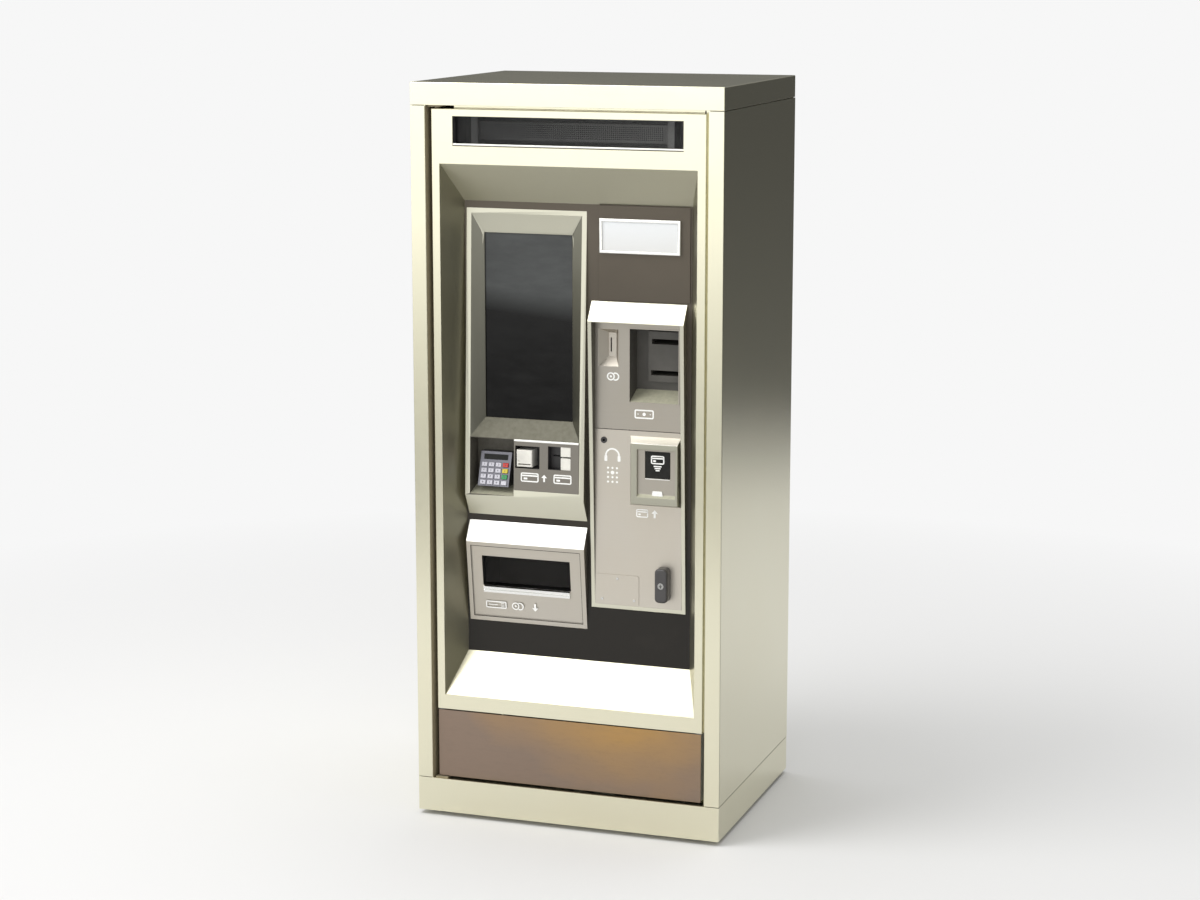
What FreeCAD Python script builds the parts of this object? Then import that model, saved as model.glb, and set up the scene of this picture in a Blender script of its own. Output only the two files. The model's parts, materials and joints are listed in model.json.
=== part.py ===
import FreeCAD, Part
import math
import os

# Ticket vending machine: a free-standing steel cabinet with one hinged front door.
# Row frame: +X to the viewer's right, +Y to the back, +Z up, origin on the floor at the
# middle of the footprint.  Every place below is given as
#   x  across, from the middle of the machine
#   d  depth, behind the front face of the cabinet
#   h  height, above the lower edge of the plinth
# and V() turns the three into the row frame.

V3 = FreeCAD.Vector

# ---- overall size
BODY_W = 792.0
BODY_D = 634.0
BODY_H = 1830.0
FOOT_H = 12.0
HALF_W = BODY_W / 2

# ---- sheet metal
SHEET = 3.0
THIN = 2.0
EDGE_R = 2.6
GAP = 0.4
SEAM = 1.6

# ---- cabinet
PLINTH_H = 86.0
CAP_H = 55.0
CAP_FROM = BODY_H - CAP_H
STILE_W = 39.0
JAMB = HALF_W - STILE_W
JAMB_D = 50.0
DOOR_STOP_X = 338.0
REAR_FLANGE = 30.0
REAR_SET = 5.0
VENT_FROM = (250.0, 1540.0)
VENT_ROWS = 7
VENT_PITCH = 16.0
VENT_TALL = 3.8
VENT_X = 140.0
VENT_HALF = 55.0
ANCHOR_X = 600.0
ANCHOR_Y = 450.0
ANCHOR_R = 7.0
CABLE_R = 30.0
FOOT_X = 340.0
FOOT_Y = 262.0

# ---- door
DOOR_X = 348.0
DOOR_D = 15.0
DOOR_RETURN = 40.0
DOOR_FROM = 90.0
DOOR_TO = 1767.0
KICK_TO = 263.0
KICK_X = 345.0
RAIL_FROM = 266.0
TUBE_IN = 331.0
PIVOT_X = -336.0
PIVOT_D = 27.0
PIVOT_R = 5.0
PIVOT_FIT = 0.06
HINGE_ARM_HALF = 16.0
HINGE_ARM_D = (8.0, 45.0)
LOW_ARM_THICK = 2.5
HIGH_ARM_THICK = 4.0
LOW_PIN_L = 25.0
HIGH_PIN_L = 23.0
BUSH_REACH = 10.0
LOW_BUSH_TALL = 24.0
HIGH_BUSH_TALL = 30.0

# ---- sign window
SIGN_X = 292.0
SIGN_FROM = 1677.0
SIGN_TO = 1749.0
SIGN_BACK = 102.0
SIGN_POST_X = (241.0, 258.0)
SIGN_POST_D = 52.0
SIGN_BOARD_D = (66.0, 84.0)
SIGN_BOARD_SET = 14.0

# ---- tapered recess and the panel at its back
MOUTH_X = 327.0
MOUTH_FROM = 303.0
MOUTH_TO = 1634.0
PANEL_X = 292.0
PANEL_FROM = 403.0
PANEL_TO = 1540.0
PANEL_D = 90.0

# ---- notice holder over the payment hood
NOTICE_BACKING = (57.0, 288.0, 1310.0, 1538.0)
NOTICE_OUTER = (60.0, 265.0, 1424.0, 1508.0)
NOTICE_INNER = (67.5, 257.5, 1430.5, 1500.0)
NOTICE_D = 80.0
NOTICE_BACK_D = PANEL_D - 3.0
NOTICE_CARD_SET = 3.5

# ---- screen hood
SCREEN_HOOD_X = (-287.0, 26.0)
SCREEN_HOOD_TOP = 1523.0
SCREEN_HOOD_BEND = (62.0, 810.0)
SCREEN_HOOD_LOW = 757.0
SCREEN_X = (-244.0, -16.0)
SCREEN_H = (1002.0, 1462.0)
SCREEN_D = 100.0
HOOD_RIM = 13.0
HOOD_REAR = 104.0
SLEEVE_X = (-277.0, 16.0)
SLEEVE_H = (799.0, 1513.0)

# ---- key pad and card panel in the lower part of the screen hood
POCKET_X = (-274.0, -158.0)
POCKET_H = (814.0, 955.0)
POCKET_D = 122.0
PAD_X = (-257.0, -175.0)
PAD_LOW = (72.0, 833.0)
PAD_HIGH = (100.0, 916.0)
KEY_COLUMNS = 4
KEY_ROWS = 4
KEY_PITCH_X = 18.6
KEY_PITCH_V = 15.0
KEY_W = 14.4
KEY_H = 10.4
KEY_PROUD = 3.0
KEY_SUNK = 2.4
KEY_SOCKET = 5.0
CARD_X = (-157.5, 12.5)
CARD_H = (829.0, 957.0)
CARD_BOX_1 = (-154.0, -90.0, 885.0, 941.0)
CARD_BOX_2 = (-68.0, -9.0, 886.0, 944.0)

# ---- payment hood
PAY_X = (37.0, 281.0)
PAY_BACK_TOP = 1306.0
PAY_FRONT = (59.0, 1260.0)
PAY_LOW = 542.0
PAY_RIM = 10.0
PAY_PLATE_D = 88.0
PAY_SEAM = 992.0
SEAM_GAP = 1.5
UPPER_PLATE_TOP = 1290.0
COIN_CUP = (55.0, 108.0, 1147.0, 1240.0)
COIN_SLOT = (81.0, 84.2, 1181.0, 1216.0)
CHUTE_X = (68.0, 98.0)
BILL_X = (133.0, 263.0)
BILL_H = (1060.0, 1245.0)
BILL_D = 145.0
BILL_SILL_TOP = 1087.0
JACK = (70.0, 965.0)
JACK_R = 8.0
JACK_FIT = 0.1
READER_BACK = (138.0, 268.0, 808.0, 980.0)
READER_FRONT = (148.0, 267.0, 816.0, 966.0)
READER_D = 60.0
READER_SINK = 6.0
READER_PLATE = (164.0, 261.0, 838.0, 952.0)
READER_WINDOW = (183.0, 247.0, 881.0, 948.0)
ACCESS = (50.0, 161.0, 556.0, 629.0)

# ---- lock
HANDLE_X = 226.0
HANDLE_H = 615.0
HANDLE_W = 33.0
HANDLE_L = 86.0
HANDLE_PROUD = 28.0
KEY_R = 8.0
SHAFT_R = 9.0
SHAFT_FIT = 0.06
PINION_TEETH = 12
PINION_R = 16.0
RACK_LOW = HANDLE_H + PINION_R + 3.2
BOLT_D = (102.0, 110.0)
BOLT_TIP = 325.0
BOLT_TAIL = 196.0
BOLT_TALL = 18.0

# ---- return module
RETURN_X = (-286.0, 26.0)
RETURN_BACK_TOP = 741.0
RETURN_FRONT = (63.0, 691.0)
RETURN_LOW = 484.0
RETURN_RIM = 10.5
WINDOW_X = (-247.0, -14.0)
WINDOW_H = (578.0, 655.0)
TRAY_D = 196.0
TRAY_TOP = 712.0
FLAP_D = 80.0
FLAP_TOP = 651.0
FLAP_DROP = 66.0

# ---- inside the cabinet
SHELF_H = 838.0
SHELF_D = (350.0, 618.0)
VAULT_X = (36.0, 286.0)
VAULT_D = (262.0, 590.0)
VAULT_H = (98.0, 268.0)
VAULT_WALL = 4.0


# ---------------------------------------------------------------- helpers
def V(x, d, h):
    return V3(x, d - BODY_D / 2, h + FOOT_H)


def block(x0, x1, d0, d1, h0, h1):
    return Part.makeBox(x1 - x0, d1 - d0, h1 - h0, V(x0, d0, h0))


def prism_x(x0, x1, outline):
    """A side outline of (d, h) points, drawn out across the machine."""
    points = [V(x0, d, h) for d, h in outline]
    face = Part.Face(Part.makePolygon(points + points[:1]))
    return face.extrude(V3(x1 - x0, 0, 0))


def rod(x, d, h, radius, length, along):
    """A round bar that starts at (x, d, h) and runs along a row direction."""
    return Part.makeCylinder(radius, length, V(x, d, h), along)


def loft(first, second):
    """A solid between two four-cornered outlines given as row-frame points."""
    wires = []
    for corners in (first, second):
        wires.append(Part.makePolygon(list(corners) + [corners[0]]))
    return Part.makeLoft(wires, True, True)


def rect(x0, x1, h0, h1, d):
    return [V(x0, d, h0), V(x1, d, h0), V(x1, d, h1), V(x0, d, h1)]


def join(*shapes):
    return shapes[0].fuse(list(shapes[1:])).removeSplitter()


def cut(shape, *tools):
    return shape.cut(list(tools)).removeSplitter()


def group(shapes):
    return Part.makeCompound(list(shapes))


def soften(shape, radius, chosen):
    """Round the edges whose middle point passes the test."""
    edges = []
    for edge in shape.Edges:
        middle = edge.valueAt((edge.FirstParameter + edge.LastParameter) / 2)
        x = middle.x
        d = middle.y + BODY_D / 2
        h = middle.z - FOOT_H
        if chosen(edge, x, d, h):
            edges.append(edge)
    return shape.makeFillet(radius, edges)


def near(a, b, slack=0.05):
    return abs(a - b) < slack


def on_plane(low, high, h):
    """Depth at height h on the sloping line between two (d, h) points."""
    return low[0] + (high[0] - low[0]) * (h - low[1]) / (high[1] - low[1])


SAVED = []


def save(name, shape):
    shape.exportStep("parts/" + name + ".step")
    SAVED.append(name)


# ---------------------------------------------------------------- cabinet
def levelling_feet():
    feet = []
    for x in (-FOOT_X, FOOT_X):
        for y in (-FOOT_Y, FOOT_Y):
            d = y + BODY_D / 2
            pad = rod(x, d, -FOOT_H, 26.0, 6.0, V3(0, 0, 1))
            pad = pad.makeChamfer(1.5, [pad.Edges[0]])
            neck = rod(x, d, -FOOT_H + 6.0, 9.0, FOOT_H - 6.0, V3(0, 0, 1))
            feet.append(join(pad, neck))
    return group(feet)


def base_plinth():
    outer = block(-HALF_W, HALF_W, 0, BODY_D, 0, PLINTH_H)

    def corner(edge, x, d, h):
        upright = near(abs(x), HALF_W) and (near(d, 0) or near(d, BODY_D))
        return upright and near(h, PLINTH_H / 2)

    outer = soften(outer, EDGE_R, corner)
    hollow = block(SHEET - HALF_W, HALF_W - SHEET, SHEET, BODY_D - SHEET, 4.0, PLINTH_H)
    body = cut(outer, hollow)
    holes = []
    for x in (-ANCHOR_X / 2, ANCHOR_X / 2):
        for y in (-ANCHOR_Y / 2, ANCHOR_Y / 2):
            holes.append(rod(x, y + BODY_D / 2, -1, ANCHOR_R, 8, V3(0, 0, 1)))
    holes.append(rod(0, BODY_D / 2, -1, CABLE_R, 8, V3(0, 0, 1)))
    return join(cut(body, *holes), floor_deck())


def floor_deck():
    """Raised floor that closes the plinth, with the coin vault's runners welded to it."""
    inset = SHEET - 1.0
    plate = block(inset - HALF_W, HALF_W - inset, inset, BODY_D - inset, PLINTH_H - SHEET, PLINTH_H)
    hatch = block(-320, -180, 440, 600, PLINTH_H - 10, PLINTH_H + 10)
    left = block(VAULT_X[0] - 14, VAULT_X[0] - 2, 70, 600, PLINTH_H, PLINTH_H + 34)
    right = block(VAULT_X[1] + 2, VAULT_X[1] + 14, 70, 600, PLINTH_H, PLINTH_H + 34)
    bed = block(VAULT_X[0] + 20, VAULT_X[1] - 20, 120, 600, PLINTH_H, VAULT_H[0] - GAP)
    return join(cut(plate, hatch), left, right, bed)


def side_panel(side):
    """Side wall, front stile, door jamb and rear flange, made from flat plates that butt together.

    A narrow seam shows round the side wall and at both ends of the stile.
    """
    low = PLINTH_H
    high = CAP_FROM
    inside = HALF_W - SHEET

    def bar(x0, x1, d0, d1, end_gap=0.0):
        left = min(side * x0, side * x1)
        right = max(side * x0, side * x1)
        return block(left, right, d0, d1, low + end_gap, high - end_gap)

    def stile_corner(edge, x, d, h):
        at_side = near(x, side * HALF_W) or near(x, side * JAMB)
        return at_side and near(d, 0) and near(h, (low + high) / 2)

    plates = [
        bar(inside, HALF_W, SHEET + SEAM, BODY_D, SEAM),
        soften(bar(JAMB, HALF_W, 0, SHEET, SEAM), EDGE_R, stile_corner),
        bar(JAMB, JAMB + SHEET, SHEET, JAMB_D),
        bar(HALF_W - REAR_FLANGE, inside, BODY_D - REAR_SET - SHEET, BODY_D - REAR_SET),
    ]
    if side > 0:
        plates.append(bar(DOOR_STOP_X, JAMB, JAMB_D - SHEET, JAMB_D))
    return plates


def top_cap():
    outer = block(-HALF_W, HALF_W, 0, BODY_D, CAP_FROM, BODY_H)

    def edge_test(edge, x, d, h):
        return h > CAP_FROM + 1

    outer = soften(outer, EDGE_R, edge_test)
    inside = block(SHEET - HALF_W, HALF_W - SHEET, SHEET, BODY_D - SHEET, CAP_FROM, BODY_H - SHEET)
    body = cut(outer, inside)
    ledge = block(1 - HALF_W + SHEET, HALF_W - SHEET - 1, 1, JAMB_D, CAP_FROM, CAP_FROM + SHEET)
    lip = block(-300, 335, JAMB_D - SHEET, JAMB_D, CAP_FROM - 20, CAP_FROM + SHEET)
    return join(body, ledge, lip)


def rear_panel():
    half = HALF_W - SHEET - 1.0
    low = PLINTH_H + 2
    high = CAP_FROM - 2
    plate = block(-half, half, BODY_D - REAR_SET, BODY_D - REAR_SET + SHEET, low, high)
    slots = []
    for base in VENT_FROM:
        for row in range(VENT_ROWS):
            for column in (-1, 0, 1):
                x = column * VENT_X
                h = base + row * VENT_PITCH
                slots.append(block(x - VENT_HALF, x + VENT_HALF, BODY_D - 10, BODY_D + 5, h, h + VENT_TALL))
    return cut(plate, *slots)


def door_hinges():
    """Upper and lower brackets on the cabinet, each with the pin that the door turns on."""
    x0 = PIVOT_X - HINGE_ARM_HALF
    x1 = PIVOT_X + HINGE_ARM_HALF
    d0, d1 = HINGE_ARM_D
    low_top = PLINTH_H + LOW_ARM_THICK
    high_low = CAP_FROM - HIGH_ARM_THICK
    low_arm = block(x0, x1, d0, d1, PLINTH_H, low_top)
    low_pin = rod(PIVOT_X, PIVOT_D, low_top, PIVOT_R, LOW_PIN_L, V3(0, 0, 1))
    high_arm = block(x0, x1, d0, d1, high_low, CAP_FROM)
    high_pin = rod(PIVOT_X, PIVOT_D, high_low - HIGH_PIN_L, PIVOT_R, HIGH_PIN_L, V3(0, 0, 1))
    return group([join(low_arm, low_pin), join(high_arm, high_pin)])


def lock_keeper():
    """Steel block on the right-hand wall; the thrown bolt passes behind its foot."""
    low = HANDLE_H + 6
    foot = block(341, HALF_W - SHEET, 76, 96, low, low + 48)
    web = block(HALF_W - SHEET - 6, HALF_W - SHEET, 96, 160, low, low + 48)
    return join(foot, web)


def equipment_shelf():
    d0, d1 = SHELF_D
    half = HALF_W - SHEET
    plate = block(-half, half, d0, d1, SHELF_H, SHELF_H + THIN)
    front = block(-half, half, d0, d0 + THIN, SHELF_H - 22, SHELF_H + THIN)
    back = block(-half, half, d1 - THIN, d1, SHELF_H, SHELF_H + 24)
    return join(plate, front, back)


def power_supply():
    box = block(-330, -150, 400, 560, SHELF_H + THIN, SHELF_H + THIN + 96)
    top = SHELF_H + THIN + 96
    slots = []
    for step in range(9):
        x = -316 + step * 18.0
        slots.append(block(x, x + 6, 420, 540, top - 2, top + 1))
    return cut(box, *slots)


def machine_computer():
    box = block(-110, 90, 390, 600, SHELF_H + THIN, SHELF_H + THIN + 74)
    top = SHELF_H + THIN + 74
    fins = []
    for step in range(12):
        x = -102 + step * 16.0
        fins.append(block(x, x + 8, 392, 598, top, top + 12))
    sockets = []
    for step in range(4):
        x = -92 + step * 44.0
        sockets.append(block(x, x + 26, 388, 396, SHELF_H + 22, SHELF_H + 36))
    return cut(join(box, *fins), *sockets)


def coin_vault():
    """Steel box with a funnel mouth on its top near the front."""
    x0, x1 = VAULT_X
    d0, d1 = VAULT_D
    h0, h1 = VAULT_H
    outer = block(x0, x1, d0, d1, h0, h1)

    def upright(edge, x, d, h):
        return near(h, (h0 + h1) / 2)

    outer = soften(outer, 4.0, upright)
    wall = VAULT_WALL
    inside = block(x0 + wall, x1 - wall, d0 + wall, d1 - wall, h0 + wall, h1 - wall)
    mouth = block(58, 108, d0 + 14, d0 + 64, h1 - wall - 1, h1 + 1)
    return join(cut(outer, inside, mouth), vault_pull())


def vault_pull():
    """Fixed bow handle on the front of the coin vault."""
    middle = (VAULT_X[0] + VAULT_X[1]) / 2
    front = VAULT_D[0]
    high = VAULT_H[1] - 60
    bow = block(middle - 60, middle + 60, front - 34, front, high, high + 10)
    finger_gap = block(middle - 50, middle + 50, front - 24, front, high - 1, high + 11)
    return cut(bow, finger_gap)


# ---------------------------------------------------------------- door
def door_skin():
    """Front of the door: plates butted around the sign window and the recess, with turned-back edges."""
    d0 = DOOR_D
    d1 = DOOR_D + SHEET
    shut = [
        block(-MOUTH_X, MOUTH_X, d0, d1, RAIL_FROM, MOUTH_FROM),
        block(-MOUTH_X, MOUTH_X, d0, d1, MOUTH_TO, SIGN_FROM),
        block(-MOUTH_X, -SIGN_X, d0, d1, SIGN_FROM, SIGN_TO),
        block(SIGN_X, MOUTH_X, d0, d1, SIGN_FROM, SIGN_TO),
    ]

    def top_edge(edge, x, d, h):
        return near(h, DOOR_TO) and near(d, DOOR_D)

    over = join(
        block(-MOUTH_X, MOUTH_X, d0, d1, SIGN_TO, DOOR_TO),
        block(-MOUTH_X, MOUTH_X, d0, DOOR_RETURN, DOOR_TO - SHEET, DOOR_TO),
    )
    return group(shut + [soften(over, EDGE_R, top_edge), door_edge(-1), door_edge(1)])


def door_edge(side):
    """One upright edge of the door skin, turned back along its side and across its top."""

    def bar(x0, x1, d0, d1, h0, h1):
        left = min(side * x0, side * x1)
        right = max(side * x0, side * x1)
        return block(left, right, d0, d1, h0, h1)

    face = bar(MOUTH_X, DOOR_X, DOOR_D, DOOR_D + SHEET, RAIL_FROM, DOOR_TO)
    turned = bar(DOOR_X - SHEET, DOOR_X, DOOR_D, DOOR_RETURN, RAIL_FROM, DOOR_TO)
    over = bar(MOUTH_X, DOOR_X, DOOR_D, DOOR_RETURN, DOOR_TO - SHEET, DOOR_TO)
    body = join(face, turned, over)

    def front_edge(edge, x, d, h):
        upright = near(x, side * DOOR_X) and near(d, DOOR_D)
        top = near(h, DOOR_TO) and near(d, DOOR_D)
        return upright or top

    body = soften(body, EDGE_R, front_edge)
    if side < 0:
        body = cut(body, rod(PIVOT_X, PIVOT_D, DOOR_TO - 20, PIVOT_R + SHEET, 40, V3(0, 0, 1)))
    return body


def door_frame():
    """Box-section frame behind the skin: butted tubes, and two bushes that turn on the hinge pins."""
    d0 = DOOR_D + SHEET
    d1 = DOOR_RETURN
    inner = DOOR_X - SHEET
    bush_x = -TUBE_IN + BUSH_REACH
    low = DOOR_FROM + SHEET
    high = DOOR_TO - SHEET
    low_bush_top = DOOR_FROM + LOW_BUSH_TALL
    high_bush_low = DOOR_TO - HIGH_BUSH_TALL
    bore_r = PIVOT_R + PIVOT_FIT
    bore = rod(PIVOT_X, PIVOT_D, low - 1, bore_r, high - low + 2, V3(0, 0, 1))
    low_bush = block(-inner, bush_x, d0, d1, low, low_bush_top)
    high_bush = block(-inner, bush_x, d0, d1, high_bush_low, high)
    return group([
        cut(low_bush, bore),
        cut(high_bush, bore),
        block(-inner, -TUBE_IN, d0, d1, low_bush_top, high_bush_low),
        block(TUBE_IN, inner, d0, d1, low, high),
        block(bush_x, TUBE_IN, d0, d1, SIGN_TO + SHEET, high),
        block(-TUBE_IN, TUBE_IN, d0, d1, MOUTH_TO + 4, SIGN_FROM - SHEET),
        block(-TUBE_IN, TUBE_IN, d0, d1, RAIL_FROM + SHEET, MOUTH_FROM - SHEET),
        block(bush_x, TUBE_IN, d0 + 1, d1, low, low_bush_top - 1),
    ])


def kick_panel():
    face = block(-KICK_X, KICK_X, DOOR_D, DOOR_D + THIN, DOOR_FROM, KICK_TO)
    left = block(-KICK_X, -KICK_X + THIN, DOOR_D, DOOR_D + SHEET, DOOR_FROM, KICK_TO)
    right = block(KICK_X - THIN, KICK_X, DOOR_D, DOOR_D + SHEET, DOOR_FROM, KICK_TO)
    rib = block(-300, 300, DOOR_D + THIN, DOOR_D + SHEET, DOOR_FROM + 3, KICK_TO - 10)
    body = join(face, left, right, rib)

    def front_edge(edge, x, d, h):
        return near(d, DOOR_D)

    return soften(body, 0.8, front_edge)


def recess_surround():
    front = DOOR_D + SHEET
    wall = THIN
    outside = loft(
        rect(-MOUTH_X - wall, MOUTH_X + wall, MOUTH_FROM - wall, MOUTH_TO + wall, front),
        rect(-PANEL_X - wall, PANEL_X + wall, PANEL_FROM - wall, PANEL_TO + wall, PANEL_D),
    )
    inside = loft(
        rect(-MOUTH_X, MOUTH_X, MOUTH_FROM, MOUTH_TO, front),
        rect(-PANEL_X, PANEL_X, PANEL_FROM, PANEL_TO, PANEL_D),
    )
    return cut(outside, inside)


def module_panel():
    """Flat panel at the back of the recess that carries every module."""
    half = PANEL_X + THIN
    plate = block(-half, half, PANEL_D, PANEL_D + SHEET, PANEL_FROM - THIN, PANEL_TO + THIN)
    screen = block(SLEEVE_X[0], SLEEVE_X[1], 80, 110, SLEEVE_H[0], SLEEVE_H[1])
    payment = block(PAY_X[0] + PAY_RIM, PAY_X[1] - PAY_RIM, 80, 110, PAY_LOW + PAY_RIM, 1296)
    returns = block(-276, 16, 80, 110, 494, 716)
    return cut(plate, screen, payment, returns)


def sign_housing():
    """Sheet-metal box behind the sign window, made from five plates, with the sign in it."""
    d0 = DOOR_D + SHEET
    back = SIGN_BACK
    half = SIGN_X + THIN
    low = SIGN_FROM - THIN
    high = SIGN_TO + THIN
    lip_side = [(d0, SIGN_FROM), (34, SIGN_FROM), (34, SIGN_FROM + 6), (d0, SIGN_FROM + 2)]
    return group([
        block(-half, half, d0, back, low, SIGN_FROM),
        block(-half, half, d0, back, SIGN_TO, high),
        block(-half, -SIGN_X, d0, back, SIGN_FROM, SIGN_TO),
        block(SIGN_X, half, d0, back, SIGN_FROM, SIGN_TO),
        block(-half, half, back, back + THIN, low, high),
        prism_x(-SIGN_X, SIGN_X, lip_side),
        sign_display(),
    ])


def sign_display():
    """Sign module held on two uprights inside the housing."""
    inner, outer = SIGN_POST_X
    board_from, board_to = SIGN_BOARD_D
    low = SIGN_FROM + SIGN_BOARD_SET
    high = SIGN_TO - SIGN_BOARD_SET
    board = block(-inner - 9, inner + 9, board_from, board_to, low, high)
    post_1 = block(-outer, -inner, SIGN_POST_D, SIGN_BACK, SIGN_FROM, SIGN_TO)
    post_2 = block(inner, outer, SIGN_POST_D, SIGN_BACK, SIGN_FROM, SIGN_TO)
    window = block(9 - inner, inner - 9, board_from - 1, board_from + 2, low + 6, high - 6)
    return cut(join(board, post_1, post_2), window)


def notice_plate():
    x0, x1, h0, h1 = NOTICE_BACKING
    return block(x0, x1, NOTICE_BACK_D, PANEL_D, h0, h1)


def notice_frame():
    x0, x1, h0, h1 = NOTICE_OUTER
    outer = block(x0, x1, NOTICE_D, NOTICE_BACK_D, h0, h1)
    x0, x1, h0, h1 = NOTICE_INNER
    inner = block(x0, x1, NOTICE_D - 10, NOTICE_BACK_D + 8, h0, h1)
    body = cut(outer, inner)

    def front_edge(edge, x, d, h):
        return near(d, NOTICE_D)

    return soften(body, 1.6, front_edge)


def notice_card():
    x0, x1, h0, h1 = NOTICE_INNER
    return block(x0, x1, NOTICE_D + NOTICE_CARD_SET, NOTICE_BACK_D, h0, h1)


def hood_depth(h):
    return on_plane(SCREEN_HOOD_BEND, (PANEL_D, SCREEN_HOOD_TOP), h)


def screen_hood():
    x0, x1 = SCREEN_HOOD_X
    wedge = prism_x(x0, x1, [(PANEL_D, SCREEN_HOOD_TOP), SCREEN_HOOD_BEND, (PANEL_D, SCREEN_HOOD_LOW)])
    sleeve = block(SLEEVE_X[0], SLEEVE_X[1], PANEL_D, HOOD_REAR, SLEEVE_H[0], SLEEVE_H[1])
    pocket_back = block(SLEEVE_X[0], -156, HOOD_REAR, POCKET_D + SHEET, 806, 960)
    body = join(wedge, sleeve, pocket_back)
    top = SCREEN_HOOD_TOP - HOOD_RIM
    low = 957.0
    left = x0 + HOOD_RIM
    right = x1 - HOOD_RIM
    glass = rect(SCREEN_X[0], SCREEN_X[1], SCREEN_H[0], SCREEN_H[1], SCREEN_D)
    rim = [
        V(left, hood_depth(low), low),
        V(right, hood_depth(low), low),
        V(right, hood_depth(top), top),
        V(left, hood_depth(top), top),
    ]
    beyond = [g + (r - g) * 1.3 for g, r in zip(glass, rim)]
    bevel = loft(glass, beyond)
    opening = block(SCREEN_X[0], SCREEN_X[1], SCREEN_D - 2, HOOD_REAR + 1, SCREEN_H[0], SCREEN_H[1])
    p0, p1 = POCKET_X
    low_h, high_h = POCKET_H
    pocket = prism_x(p0, p1, [(50, low_h), (64, low_h), (POCKET_D, 831), (POCKET_D, high_h), (50, high_h)])
    card = block(CARD_X[0] - 0.5, CARD_X[1] + 0.5, 40, 130, CARD_H[0], CARD_H[1])
    return cut(body, bevel, opening, pocket, card)


def screen_glass():
    return block(SCREEN_X[0] - 6, SCREEN_X[1] + 6, HOOD_REAR, HOOD_REAR + 4, SCREEN_H[0] - 6, SCREEN_H[1] + 6)


def display_unit():
    x0 = SCREEN_X[0] - 10
    x1 = SCREEN_X[1] + 10
    h0 = SCREEN_H[0] - 10
    h1 = SCREEN_H[1] + 10
    body = block(x0, x1, HOOD_REAR + 4, HOOD_REAR + 34, h0, h1)
    board = block(x0 + 30, x1 - 30, HOOD_REAR + 34, HOOD_REAR + 50, h0 + 120, h1 - 120)
    body = join(body, board)
    vents = []
    for step in range(10):
        h = h0 + 140 + step * 20.0
        vents.append(block(x0 + 50, x1 - 50, HOOD_REAR + 47, HOOD_REAR + 52, h, h + 7))
    return cut(body, *vents)


def pad_place(u, v, out):
    """Point on the key pad: u across, v up its slope, out from its face."""
    span = math.hypot(PAD_HIGH[0] - PAD_LOW[0], PAD_HIGH[1] - PAD_LOW[1])
    along_d = (PAD_HIGH[0] - PAD_LOW[0]) / span
    along_h = (PAD_HIGH[1] - PAD_LOW[1]) / span
    d = PAD_LOW[0] + v * along_d - out * along_h
    h = PAD_LOW[1] + v * along_h + out * along_d
    return V((PAD_X[0] + PAD_X[1]) / 2 + u, d, h)


def pad_block(u0, u1, v0, v1, out0, out1):
    base = [
        pad_place(u0, v0, out0),
        pad_place(u1, v0, out0),
        pad_place(u1, v1, out0),
        pad_place(u0, v1, out0),
    ]
    face = Part.Face(Part.makePolygon(base + base[:1]))
    return face.extrude(pad_place(0, 0, out1) - pad_place(0, 0, out0))


def key_centre(row, column):
    """Row 0 is the top row and column 3 holds the coloured command keys."""
    u = (column - (KEY_COLUMNS - 1) / 2) * KEY_PITCH_X
    v = 9.5 + (KEY_ROWS - 1 - row) * KEY_PITCH_V
    return u, v


def keypad_body():
    outline = [PAD_LOW, PAD_HIGH, (POCKET_D, PAD_HIGH[1]), (POCKET_D, PAD_LOW[1])]
    body = prism_x(PAD_X[0], PAD_X[1], outline)
    sockets = []
    for row in range(KEY_ROWS):
        for column in range(KEY_COLUMNS):
            u, v = key_centre(row, column)
            half_u = KEY_W / 2 + GAP
            half_v = KEY_H / 2 + GAP
            sockets.append(pad_block(u - half_u, u + half_u, v - half_v, v + half_v, -KEY_SOCKET, 5))
    window = pad_block(-32, 32, 67, 81, -2.0, 5)
    return cut(body, window, *sockets)


def key(row, column):
    u, v = key_centre(row, column)
    half_u = KEY_W / 2
    half_v = KEY_H / 2
    body = pad_block(u - half_u, u + half_u, v - half_v, v + half_v, -KEY_SUNK, KEY_PROUD)
    crown = pad_place(u, v, KEY_PROUD)
    normal = pad_place(0, 0, 1) - pad_place(0, 0, 0)
    top = [e for e in body.Edges if abs((e.CenterOfMass - crown).dot(normal)) < 0.01]
    return body.makeChamfer(1.0, top)


def card_panel():
    h0, h1 = CARD_H
    d0 = hood_depth(h0)
    d1 = hood_depth(h1) - 1
    plate = prism_x(CARD_X[0], CARD_X[1], [(d0, h0), (d1, h1), (d1 + 4, h1), (d0 + 4, h0)])
    cuts = []
    for x0, x1, b0, b1 in (CARD_BOX_1, CARD_BOX_2):
        cuts.append(block(x0, x1, 50, 80, b0, b1))
    return cut(plate, *cuts)


def card_housing():
    """Black moulded box behind the card panel, with one pocket for each reader."""
    h0, h1 = CARD_H
    front = hood_depth(h1) + 3.2
    body = block(CARD_X[0] + 2, CARD_X[1] - 2, front, 128, h0 + 3, h1 - 3)
    pocket_1 = block(CARD_BOX_1[0], CARD_BOX_1[1], 60, 104, CARD_BOX_1[2], CARD_BOX_1[3])
    pocket_2 = block(CARD_BOX_2[0], CARD_BOX_2[1], 60, 104, CARD_BOX_2[2], CARD_BOX_2[3])
    return cut(body, pocket_1, pocket_2)


def card_reader():
    """Insertion reader: a moulded nose in the left pocket with its card slot underneath."""
    nose = block(-151, -110, 66, 104, 888, 931)

    def front_edge(edge, x, d, h):
        return near(d, 66)

    nose = soften(nose, 3.0, front_edge)
    slot = block(-147, -114, 60, 98, 893.5, 896.5)
    lamp = rod(-144, 60, 903, 2.2, 8, V3(0, 1, 0))
    return cut(nose, slot, lamp)


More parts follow.
